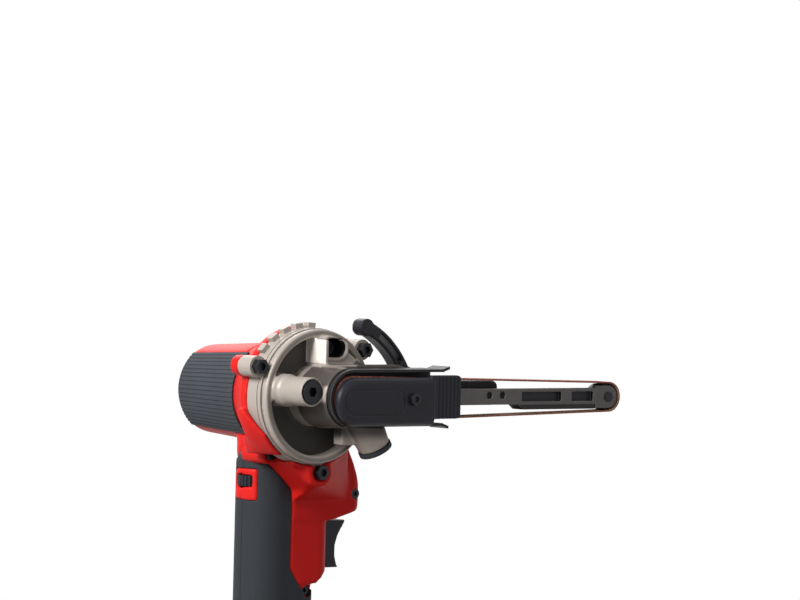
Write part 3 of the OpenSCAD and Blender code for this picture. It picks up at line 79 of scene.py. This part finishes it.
# Surround and lamps: a white room, which gloss and metal mirror at full strength but which lights
# the tool only weakly, with a strong soft lamp at the upper left, a weak one at the right and one
# behind.
white = (1, 1, 1, 1)
lighting_strength, mirrored_strength = 0.3, 1.0
lamp_aim = Vector((0.03, -0.03, 0.2))
world = bpy.data.worlds.new("surround")
scene.world = world
world.use_nodes = True
sky = world.node_tree
rays = sky.nodes.new("ShaderNodeLightPath")
seen = rays.outputs["Is Camera Ray"]
for ray in ("Is Glossy Ray", "Is Transmission Ray"):
    either = sky.nodes.new("ShaderNodeMath")
    either.operation = "MAXIMUM"
    sky.links.new(seen, either.inputs[0])
    sky.links.new(rays.outputs[ray], either.inputs[1])
    seen = either.outputs[0]
strength = sky.nodes.new("ShaderNodeMapRange")
strength.inputs["To Min"].default_value = lighting_strength
strength.inputs["To Max"].default_value = mirrored_strength
sky.links.new(seen, strength.inputs["Value"])
backdrop = sky.nodes["Background"]
backdrop.inputs["Color"].default_value = white
sky.links.new(strength.outputs[0], backdrop.inputs["Strength"])
for name, place, watts, size in (
    ("key_lamp", (-1.5, -0.12, 1.1), 50, 0.7),
    ("fill_lamp", (0.2, -1.7, 0.9), 4, 1.0),
    ("back_lamp", (0.6, 1.3, 1.1), 8, 0.8),
):
    lamp = bpy.data.objects.new(name, bpy.data.lights.new(name, "AREA"))
    lamp.data.energy, lamp.data.size = watts, size
    lamp.location = place
    lamp.rotation_euler = (lamp_aim - Vector(place)).to_track_quat("-Z", "Y").to_euler()
    scene.collection.objects.link(lamp)

# Floor: a pale matt board under the tool, which keeps its shadow and fades to white further out.
# What it throws back is held low, so that it doesn't light the tool from below.
floor_radius, floor_drop = 3, 0.0004
floor_fade = (0.3, 0.62)
floor_pale, floor_paler = (0.86, 0.86, 0.86, 1), (0.9, 0.9, 0.9, 1)
thrown_back = (0.22, 0.22, 0.22, 1)


class Value:
    """A shader socket in an expression: each operator adds a Math node to its finish."""

    def __init__(self, finish, socket):
        self.finish, self.socket = finish, socket

    def math(self, operation, first, second):
        return self.finish.node("Math", {"operation": operation}, {0: first, 1: second})

    def __add__(self, other): return self.math("ADD", self, other)
    def __radd__(self, other): return self.math("ADD", other, self)
    def __sub__(self, other): return self.math("SUBTRACT", self, other)
    def __rsub__(self, other): return self.math("SUBTRACT", other, self)
    def __mul__(self, other): return self.math("MULTIPLY", self, other)
    def __rmul__(self, other): return self.math("MULTIPLY", other, self)
    def __gt__(self, other): return self.math("GREATER_THAN", self, other)
    def __lt__(self, other): return self.math("LESS_THAN", self, other)

    def at_least(self, other): return self.math("MAXIMUM", self, other)
    def at_most(self, other): return self.math("MINIMUM", self, other)
    def between(self, low, high): return (self > low) * (self < high)


class Finish:
    """A material of nodes on Object coordinates, whose constants go on the shader's own sockets."""

    def __init__(self, name, **constants):
        self.material = bpy.data.materials.new(name)
        self.material.use_nodes = True
        self.tree = self.material.node_tree
        self.shader = self.tree.nodes["Principled BSDF"]
        for socket, value in constants.items():
            self.shader.inputs[socket.replace("_", " ")].default_value = value
        self.place = self.node("TexCoord", {}, {}, "Object")

    def node(self, kind, settings, sockets, out=0):
        made = self.tree.nodes.new("ShaderNode" + kind)
        for name, value in settings.items():
            setattr(made, name, value)
        for name, value in sockets.items():
            self.plug(made.inputs[name], value)
        return Value(self, made.outputs[out])

    def plug(self, socket, value):
        if isinstance(value, Value):
            self.tree.links.new(value.socket, socket)
        else:
            socket.default_value = value

    def set(self, **links):
        for socket, value in links.items():
            self.plug(self.shader.inputs[socket.replace("_", " ")], value)

    def axis(self, letter):
        return self.node("SeparateXYZ", {}, {0: self.place}, "XYZ".index(letter))

    def noise(self, scale, detail, place=None):
        sockets = {"Vector": place or self.place, "Scale": scale, "Detail": detail}
        return self.node("TexNoise", {}, sockets)

    def cells(self, scale):
        return self.node("TexVoronoi", {}, {"Vector": self.place, "Scale": scale})

    def ramp(self, value, low, high):
        sockets = {"Value": value, "From Min": low, "From Max": high}
        return self.node("MapRange", {"interpolation_type": "SMOOTHSTEP"}, sockets)

    def length(self, first, second):
        return self.node("Math", {"operation": "SQRT"}, {0: first * first + second * second})

    def dot(self, first, second):
        sockets = {0: first, 1: second}
        return self.node("VectorMath", {"operation": "DOT_PRODUCT"}, sockets, "Value")

    def mix(self, share, first, second):
        return self.node("Mix", {"data_type": "RGBA"}, {0: share, 6: first, 7: second}, 2)

    def rounded(self, edge):
        return self.node("Bevel", {"samples": 4}, {"Radius": edge})

    def bump(self, height, depth, strength, edge=None):
        sockets = {"Height": height, "Distance": depth, "Strength": strength}
        if edge:
            sockets["Normal"] = self.rounded(edge)
        return self.node("Bump", {}, sockets)

    def edges(self, edge):
        slight, sharp = 0.02, 0.25
        plain = self.node("NewGeometry", {}, {}, "Normal")
        return self.ramp(1 - self.dot(self.rounded(edge), plain), slight, sharp)

    def coat(self, *pieces):
        for piece in pieces:
            mesh = (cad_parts[piece] if isinstance(piece, str) else piece).data
            mesh.materials.clear()
            mesh.materials.append(self.material)


bpy.ops.mesh.primitive_circle_add(
    vertices=96, radius=floor_radius, fill_type="NGON", location=(0, 0, -floor_drop))
floor = bpy.context.object
floor.name = "floor"
bpy.ops.object.transform_apply(location=True)
pale = Finish("pale_floor", Roughness=0.9)
pale.set(Base_Color=pale.mix(pale.noise(6, 3), floor_pale, floor_paler))
from_middle = pale.node("VectorMath", {"operation": "LENGTH"}, {0: pale.place}, "Value")
bare = Value(pale, pale.shader.outputs[0])
glow = pale.node("Emission", {}, {"Color": white, "Strength": 1.0})
shown = pale.node("MixShader", {}, {0: pale.ramp(from_middle, *floor_fade), 1: bare, 2: glow})
quiet = pale.node("BsdfDiffuse", {}, {"Color": thrown_back})
in_view = (
    pale.node("LightPath", {}, {}, "Is Camera Ray")
    + pale.node("LightPath", {}, {}, "Is Glossy Ray")
    + pale.node("LightPath", {}, {}, "Is Transmission Ray")
) > 0.5
blend = pale.node("MixShader", {}, {0: in_view, 1: quiet, 2: shown})
pale.tree.links.new(blend.socket, pale.tree.nodes["Material Output"].inputs["Surface"])
pale.coat(floor)

# Housing: two halves moulded in red glass-filled nylon with a satin, spark-eroded skin, screwed
# together along the middle plane. The barrel's rear edge is dark where the rubber panels end at
# it, and the lid of the battery is moulded in the same red.
shell_edge = 0.0009
barrel_end, vent_radius, red_spread = 0.0527, 0.0219, 1.6
shell_grain = 0.00085
bolt_x, bolt_z = 0.0054, 0.1843
boss_radius, boss_near, boss_far = 0.0092, 0.024, 0.0425
collar_room, collar_near = 0.0397, 0.0285
bolt_room, bolt_near = 0.0054, 0.0408
hole_radius, hole_near, hole_far, hole_x, hole_z = 0.0044, 0.0205, 0.034, -0.0168, 0.1918
cut_end = 0.06
pull_room, trigger_gap = 0.0066, 0.0012
flare_out, flare_top, flare_foot = (12, 17), (27, 32), (70, 75)
seat_out, seat_radius = 28.2, 41.5
back_screw, front_screw, screw_ring = (-15, 34.5), (51.5, 58.5), (5, 8)
low_bolt, bolt_ring = (5.4, 43.7), (6.2, 9)


def paint(red, green, blue):
    """A colour as it looks on a screen, 0 to 255, in the linear values that a shader takes."""
    def linear(part):
        part /= 255
        return part / 12.92 if part <= 0.04045 else ((part + 0.055) / 1.055) ** 2.4
    return (linear(red), linear(green), linear(blue), 1.0)


shell = Finish("red_shell", Specular_IOR_Level=0.1)
cloud = shell.noise(28, 2)
spark_grain = shell.noise(2600, 2)
worn = shell.edges(shell_edge)
across_squared = shell.axis("X") * shell.axis("X")
shell_rise = shell.axis("Z") - axis_height
rise_squared = shell_rise * shell_rise
rear_edge = (
    (shell.axis("Y") > barrel_end)
    * (across_squared * red_spread > rise_squared)
    * (across_squared + rise_squared > vent_radius ** 2)
)
shell_red = shell.mix(cloud, paint(184, 24, 23), paint(202, 34, 29))
shell_red = shell.mix(worn * 0.3, shell_red, paint(216, 62, 50))
shell.set(
    Base_Color=shell.mix(rear_edge, shell_red, paint(52, 55, 60)),
    Roughness=0.36 + spark_grain * 0.12 + cloud * 0.06 + rear_edge * 0.25,
    Normal=shell.bump(spark_grain, 0.00005, 0.6, shell_edge),
)


def only(piece):
    """Selects one piece and makes it the active one."""
    bpy.ops.object.select_all(action="DESELECT")
    piece.select_set(True)
    bpy.context.view_layer.objects.active = piece


def rod(radius, near, far, x, z):
    """A closed round bar across the tool, from near to far out on its right side."""
    bpy.ops.object.select_all(action="DESELECT")
    bpy.ops.mesh.primitive_cylinder_add(
        vertices=64, radius=radius, depth=far - near,
        location=(x, -(near + far) / 2, z), rotation=(math.pi / 2, 0, 0))
    bpy.ops.object.transform_apply(location=True, rotation=True)
    return bpy.context.object


def trigger_room():
    """A block of the trigger's whole travel with room round it."""
    trigger_low, trigger_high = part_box("trigger")
    low = trigger_low - Vector((pull_room, trigger_gap, trigger_gap))
    high = trigger_high + Vector((trigger_gap, trigger_gap, trigger_gap))
    bpy.ops.object.select_all(action="DESELECT")
    bpy.ops.mesh.primitive_cube_add(size=1, location=(low + high) / 2, scale=high - low)
    bpy.ops.object.transform_apply(location=True, scale=True)
    return bpy.context.object


def apply_modifier(piece, kind, **settings):
    only(piece)
    modifier = piece.modifiers.new(kind.lower(), kind)
    for name, value in settings.items():
        setattr(modifier, name, value)
    bpy.ops.object.modifier_apply(modifier=modifier.name)


def cut(piece, cutter):
    apply_modifier(piece, "BOOLEAN", operation="DIFFERENCE", solver="EXACT", object=cutter)
    bpy.data.objects.remove(cutter)


def twin(node, name):
    """A copy of a solid with its loose triangles merged."""
    piece = bpy.data.objects.new(name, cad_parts[node].data.copy())
    scene.collection.objects.link(piece)
    only(piece)
    bpy.ops.object.mode_set(mode="EDIT")
    bpy.ops.mesh.select_all(action="SELECT")
    bpy.ops.mesh.remove_doubles(threshold=1e-6)
    bpy.ops.object.mode_set(mode="OBJECT")
    return piece


def remade(node, name, voxel, additions=(), cutters=()):
    """A solid's twin, cut, joined to its additions and remade in small even faces."""
    piece = twin(node, name)
    for cutter in cutters:
        cut(piece, cutter)
    if additions:
        for part in additions:
            part.select_set(True)
        bpy.ops.object.join()
    apply_modifier(piece, "REMESH", mode="VOXEL", voxel_size=voxel, use_smooth_shade=True)
    return piece


def soften(piece, passes, weight):
    """Rounds a piece where weight(x, out, drop), in mm from the motor axis, is over zero."""
    group = piece.vertex_groups.new(name="soften")
    for vertex in piece.data.vertices:
        x, y, z = vertex.co * 1000
        share = weight(x, -y, 1000 * axis_height - z)
        if share > 0:
            group.add([vertex.index], min(share, 1), "REPLACE")
    apply_modifier(piece, "SMOOTH", factor=0.5, iterations=passes, vertex_group="soften")
    piece.vertex_groups.clear()


def everywhere(x, out, drop):
    return 1


def step(value, low, high):
    return min(max((value - low) / (high - low), 0), 1)


def flare(x, out, drop):
    """The housing's neck under the collar, without the collar's seat, the screws and the bolt."""
    def clear_of(place, ring):
        return step(math.dist((x, drop), place), *ring)
    if out > seat_out and math.hypot(x, drop) < seat_radius:
        return 0
    under_collar = step(drop, *flare_top) * (1 - step(drop, *flare_foot))
    clear_of_screws = min(clear_of(back_screw, screw_ring), clear_of(front_screw, screw_ring))
    return step(out, *flare_out) * under_collar * clear_of_screws * clear_of(low_bolt, bolt_ring)


bolt_boss = rod(boss_radius, boss_near, boss_far, bolt_x, bolt_z)
cut(bolt_boss, rod(collar_room, collar_near, cut_end, 0, axis_height))
cut(bolt_boss, rod(bolt_room, bolt_near, cut_end, bolt_x, bolt_z))
screw_hole = rod(hole_radius, hole_near, hole_far, hole_x, hole_z)
right_shell = remade(
    "right_housing", "right_shell", shell_grain, [bolt_boss], [screw_hole, trigger_room()])
left_shell = remade("left_housing", "left_shell", shell_grain, [], [trigger_room()])
for half, node in ((right_shell, "right_housing"), (left_shell, "left_housing")):
    soften(half, 3, everywhere)
    soften(half, 40, flare)
    shell.coat(half)
    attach(half, "housing")
    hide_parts(node)
shell.coat("left_housing", "right_housing", "battery_lid")

# Motor's turned and ground steel: can, shaft, bearings, laminated armature and drive pulley,
# pressed on each other or into the housing, and the bright battery contacts in the foot.
steel = Finish("ground_steel", Metallic=1.0)
grinding = steel.noise(700, 3)
steel.set(
    Base_Color=steel.mix(grinding, paint(150, 150, 152), paint(186, 186, 188)),
    Roughness=0.24 + grinding * 0.2,
    Normal=steel.bump(grinding, 0.00002, 0.4, 0.0004),
)
steel.coat("motor_can", "motor_shaft", "rear_bearing", "front_bearing", "armature",
           "drive_pulley", "terminal_blades")

# Magnets: two arcs of pressed and sintered ferrite, ground on the inside and left dull and dark,
# glued into the motor's can.
ferrite = Finish("ferrite", Specular_IOR_Level=0.3)
sinter = ferrite.noise(900, 3)
ferrite.set(
    Base_Color=ferrite.mix(sinter, paint(48, 47, 49), paint(72, 71, 73)),
    Roughness=0.6 + sinter * 0.2,
    Normal=ferrite.bump(sinter, 0.00004, 0.5, 0.0005),
)
ferrite.coat("magnets")

# Commutator and brushes: copper bars moulded on the rotor and turned true, and the brushes of
# copper and carbon that slide on them in the brush plate.
copper = Finish("copper", Metallic=1.0)
stain = copper.noise(600, 3)
copper.set(
    Base_Color=copper.mix(stain, paint(170, 98, 62), paint(200, 128, 88)),
    Roughness=0.28 + stain * 0.25,
)
copper.coat("commutator", "brushes")

# Circuit board: glass-cloth laminate under a green solder mask, held in slots of the handle behind
# the trigger switch.
board = Finish("solder_mask", Specular_IOR_Level=0.4)
weave = board.noise(1400, 2)
board.set(
    Base_Color=board.mix(weave, paint(18, 74, 50), paint(30, 96, 66)),
    Roughness=0.3 + weave * 0.15,
    Normal=board.bump(weave, 0.00003, 0.4, 0.0004),
)
board.coat("speed_controller")

# Soft grips: dark stippled rubber, moulded over the handle, where its top is drawn up at the back,
# and set into the barrel in ribbed panels. The dust port's ring and the battery's case are of the
# same kind.
grip_grain = 0.0006
barrel_start = (0.188, 0.193)
top_lift, top_drop, top_half_width = 0.0065, (0.0395, 0.0415), (0.002, 0.016)
rubber = Finish("soft_rubber", Specular_IOR_Level=0.18)
stipple = rubber.cells(1500)
haze = rubber.noise(40, 3)
panel_grey = rubber.mix(haze, paint(50, 53, 58), paint(62, 66, 71))
handle_grey = rubber.mix(haze, paint(34, 37, 41), paint(43, 46, 50))
on_barrel = rubber.ramp(rubber.axis("Z"), *barrel_start)
rubber.set(
    Base_Color=rubber.mix(on_barrel, handle_grey, panel_grey),
    Roughness=0.62 + haze * 0.16,
    Normal=rubber.bump(stipple, 0.00008, 0.7, 0.0006),
)
for side in ("left", "right"):
    grip = remade(side + "_grip", side + "_soft_grip", grip_grain)
    for vertex in grip.data.vertices:
        near_top = 1 - step(axis_height - vertex.co.z, *top_drop)
        near_middle = 1 - step(abs(vertex.co.y), *top_half_width)
        vertex.co.z += top_lift * near_top * near_middle
    soften(grip, 5, everywhere)
    rubber.coat(grip)
    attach(grip, "housing")
    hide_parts(side + "_grip")
rubber.coat("barrel_grip", "left_grip", "right_grip", "dust_port_ring", "battery_case")

# Collar and swivel head: aluminium castings, blasted and tumbled to a satin grey. The head turns in
# the collar, which is bolted to the housing, and its rim is machined. Painted shade darkens a band
# on the rim's face, the neck, the well, the window and the rail end; a painted highlight lightens
# the stop's face, and the edges are lighter, partly as wear and partly as a painted highlight.
cast_edge = 0.0008
head_grain = 0.0007
rim_radius, rim_out = (0.0335, 0.0392), (0.0405, 0.0468)
band_start, band_end = (0.0350, 0.0356), (0.0372, 0.0378)
dish_radius, dish_floor_out = 0.0338, (0.036, 0.0392)
window_x, window_rise, window_out = (-0.001, 0.0152), (0.0225, 0.0335), 0.0498
stop_x, stop_rise, stop_out = (-0.0052, -0.0034), (0.0195, 0.0335), 0.0385
clamp_x, clamp_rise, clamp_edge = -0.0253, 0.004, (0.0088, 0.0108)
neck_out, neck_top, neck_foot = (0.0462, 0.0482), (0.0168, 0.0182), (-0.026, -0.019)
climb_x, climb = 0.018, 0.6
rail_x = (0.0738, 0.0742)
rim_inside, rim_front, bore_edge, floor_out, rail_start = 32.6, 46.6, 11, 38.4, 72
cast = Finish("cast_metal", Metallic=0.2, Specular_IOR_Level=0.2)
lumps = cast.noise(420, 4)
fine = cast.noise(2400, 2)
tone = cast.noise(18, 2)
# Edges rubbed lighter: partly wear, partly a painted highlight.
rubbed_and_highlit = cast.edges(cast_edge)
across, far_out, rise = cast.axis("X"), 0 - cast.axis("Y"), cast.axis("Z") - axis_height
radius = cast.length(across, rise)
rim = radius.between(*rim_radius) * far_out.between(*rim_out)
# A band round the rim's face, painted darker as shade.
rim_band_shade = rim * cast.ramp(radius, *band_start) * (1 - cast.ramp(radius, *band_end))
# The dish's well, painted dark as shade, and made rougher.
shaded_well = (radius < dish_radius) * far_out.between(*dish_floor_out)
# The window's opening, painted dark as shade.
shaded_window = across.between(*window_x) * rise.between(*window_rise) * (far_out < window_out)
# The stop's face, painted light as a highlight.
stop_face_highlight = across.between(*stop_x) * rise.between(*stop_rise) * (far_out > stop_out)
# The neck, painted dark as shade, off the clamp boss and under a top line that rises along the
# head.
off_clamp = cast.ramp(cast.length(across - clamp_x, rise - clamp_rise), *clamp_edge)
climbed = rise - (across - climb_x).at_least(0) * climb
neck = (
    off_clamp
    * cast.ramp(far_out, *neck_out)
    * (1 - cast.ramp(climbed, *neck_top))
    * cast.ramp(rise, *neck_foot)
)
# The rail's end, painted dark as shade.
shaded_rail_end = cast.ramp(across, *rail_x)
cast_grey = cast.mix(tone, paint(152, 143, 135), paint(168, 159, 151))
for share, colour in (
    (neck * 0.95, paint(63, 58, 55)),
    (rim_band_shade * 0.7, paint(104, 97, 91)),
    (shaded_well, paint(64, 61, 58)),
    (stop_face_highlight * 0.9, paint(236, 229, 220)),
    (shaded_window, paint(34, 34, 38)),
    (shaded_rail_end, paint(46, 45, 47)),
    (rubbed_and_highlit * 0.5, paint(220, 214, 204)),
):
    cast_grey = cast.mix(share, cast_grey, colour)
on_axis = cast.node("Mapping", {}, {"Vector": cast.place, "Location": (0, 0, -axis_height)})
turning = cast.node(
    "TexWave", {"wave_type": "RINGS", "rings_direction": "Y"},
    {"Vector": on_axis, "Scale": 900.0, "Distortion": 0.6})
cast.set(
    Base_Color=cast_grey,
    Roughness=0.4 + fine * 0.14 - rim * 0.1 + shaded_well * 0.12,
    Normal=cast.bump(lumps * (1 - rim) + turning * rim * 0.3, 0.00009, 0.5, cast_edge),
)


def cast_blend(x, out, drop):
    """The castings that stand up from the dish, without its rim, its bore and the rail."""
    from_axis = math.hypot(x, drop)
    on_rim = from_axis > rim_inside and out < rim_front
    in_bore = from_axis < bore_edge
    return 0 if on_rim or in_bore or out < floor_out or x > rail_start else 1


head = remade("swivel_head", "cast_head", head_grain)
soften(head, 2, everywhere)
soften(head, 8, cast_blend)
cast.coat(head)
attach(head, "head")
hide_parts("swivel_head")
cast.coat("collar", "swivel_head")

# Guard, arm slide and platen: pressed and milled steel, phosphated dark, with bare metal showing
# on the worn edges. The guard is screwed to the head, and the slide runs in its rail.
dark_edge = 0.0006
dark = Finish("dark_steel", Metallic=0.25, Specular_IOR_Level=0.18)
bloom = dark.noise(160, 4)
streak = dark.noise(900, 2)
dark_grey = dark.mix(bloom, paint(33, 32, 33), paint(46, 44, 45))
dark.set(
    Base_Color=dark.mix(dark.edges(dark_edge) * 0.5, dark_grey, paint(140, 134, 126)),
    Roughness=0.36 + streak * 0.2,
    Normal=dark.bump(streak, 0.00003, 0.5, dark_edge),
)
dark.coat("belt_guard", "arm_slide", "platen")

# Arm: a steel bar with two pockets milled in its outer face, blued by heat treatment and rubbed
# bright on its edges. It is screwed to the slide and carries the nose roller.
bar_edge = 0.0006
long_pocket, short_pocket = (0.1268, 0.1582), (0.1658, 0.1832)
pocket_out, pocket_rise = (0.0734, 0.0756), (0.2228, 0.2332)
drawing = (0.08, 1, 1)
blued = Finish("blued_steel", Metallic=0.4, Specular_IOR_Level=0.25)
heat = blued.noise(120, 3)
stretched = blued.node("Mapping", {}, {"Vector": blued.place, "Scale": drawing})
drawn = blued.noise(800, 2, stretched)
along, bar_out, bar_rise = blued.axis("X"), 0 - blued.axis("Y"), blued.axis("Z")
pocket = (
    (along.between(*long_pocket) + along.between(*short_pocket))
    * bar_out.between(*pocket_out)
    * bar_rise.between(*pocket_rise)
)
bar_grey = blued.mix(heat, paint(74, 71, 70), paint(92, 89, 87))
bar_grey = blued.mix(pocket, bar_grey, paint(34, 33, 37))
blued.set(
    Base_Color=blued.mix(blued.edges(bar_edge) * 0.5, bar_grey, paint(160, 155, 149)),
    Roughness=0.38 + drawn * 0.2,
    Normal=blued.bump(drawn, 0.00003, 0.5, bar_edge),
)
blued.coat("arm_bar")

# Tension spring: a coil of bright spring wire in the rail, which keeps the belt tight. It shortens
# towards its rear end as the arm is drawn back.
coil = twin("tension_spring", "tension_coil")
steel.coat(coil, "tension_spring")
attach(coil, "head")
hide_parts("tension_spring")
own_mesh(coil)

# Black mouldings: nylon with a fine satin skin, scuffed on the edges, where a painted highlight
# lightens them too. The pulley cover is screwed to the head, the lever and the knob turn on it, and
# the trigger, dial, switch and other inner mouldings sit in the housing.
black_edge = 0.0008
black = Finish("black_nylon", Specular_IOR_Level=0.2)
pores = black.noise(1900, 3)
cloudy = black.noise(35, 2)
black_base = black.mix(cloudy, paint(20, 20, 26), paint(29, 30, 38))
# Lighter edges: partly scuffs, partly a painted highlight.
black.set(
    Base_Color=black.mix(black.edges(black_edge) * 0.45, black_base, paint(68, 68, 76)),
    Roughness=0.34 + pores * 0.16,
    Normal=black.bump(pores, 0.00005, 0.5, black_edge),
)
for node, name, body, voxel, passes in (
    ("pulley_cover", "belt_cover", "head", 0.0004, 2),
    ("belt_lever", "release_lever", "belt_lever", 0.0004, 6),
    ("trigger", "finger_trigger", "trigger", 0.0005, 5),
):
    moulding = remade(node, name, voxel)
    soften(moulding, passes, everywhere)
    black.coat(moulding)
    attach(moulding, body)
    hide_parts(node)
black.coat("pulley_cover", "belt_lever", "tracking_knob", "trigger", "speed_dial", "switch_module",
           "terminal_block", "brush_plate", "cooling_fan", "dial_pot", "battery_latch")

# Screws, bolts, pins and the nose roller: turned steel, blackened by heat and oil. They hold the
# collar, covers, guard, lever and arm, and clamp the swivel.
oiled = Finish("oiled_steel", Metallic=0.85)
smoke = oiled.noise(500, 3)
oiled.set(
    Base_Color=oiled.mix(smoke, paint(28, 28, 31), paint(52, 52, 56)),
    Roughness=0.3 + smoke * 0.22,
    Normal=oiled.bump(smoke, 0.00003, 0.5, 0.0004),
)
oiled.coat("housing_screws", "collar_bolts", "clamp_screw", "guard_screws", "cover_screw",
           "lever_pin", "arm_screws", "pulley_nut", "roller_axle", "tip_roller")

# Abrasive belt: an endless loop of tan cloth with a coat of red-brown aluminium oxide grit on the
# outside, run over the drive pulley and the nose roller. It follows the roller when the arm is
# drawn back.
roller_x = 0.19
inward = -0.001
grit = Finish("abrasive", Specular_IOR_Level=0.2)
grains = grit.cells(1700)
specks = grit.noise(1100, 4)
along_belt, belt_rise = grit.axis("X"), grit.axis("Z") - axis_height
past_ends = (along_belt - roller_x).at_least(0) + along_belt.at_most(0)
outward = grit.node("CombineXYZ", {}, {0: past_ends, 2: belt_rise})
inside = grit.dot(outward, grit.node("NewGeometry", {}, {}, "Normal")) < inward
grit_brown = grit.mix(grit.ramp(specks, 0.35, 0.7), paint(120, 66, 56), paint(182, 122, 108))
cloth_tan = grit.mix(specks, paint(150, 122, 98), paint(172, 144, 118))
grit.set(
    Base_Color=grit.mix(inside, grit_brown, cloth_tan),
    Roughness=0.82 + specks * 0.12,
    Normal=grit.bump(grains, 0.00018, 0.9),
)
belt = twin("sanding_belt", "abrasive_belt")
grit.coat(belt, "sanding_belt")
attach(belt, "head")
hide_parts("sanding_belt")
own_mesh(belt)

# Battery cells: round steel cells, each in a sleeve of pale blue shrink film, in two rows side by
# side in the case of the pack.
film = Finish("shrink_film", Specular_IOR_Level=0.4, Coat_Weight=0.3)
wrap = film.noise(60, 3)
film.set(
    Base_Color=film.mix(wrap, paint(82, 124, 158), paint(98, 142, 176)),
    Roughness=0.3 + wrap * 0.15,
)
film.coat("battery_cells")
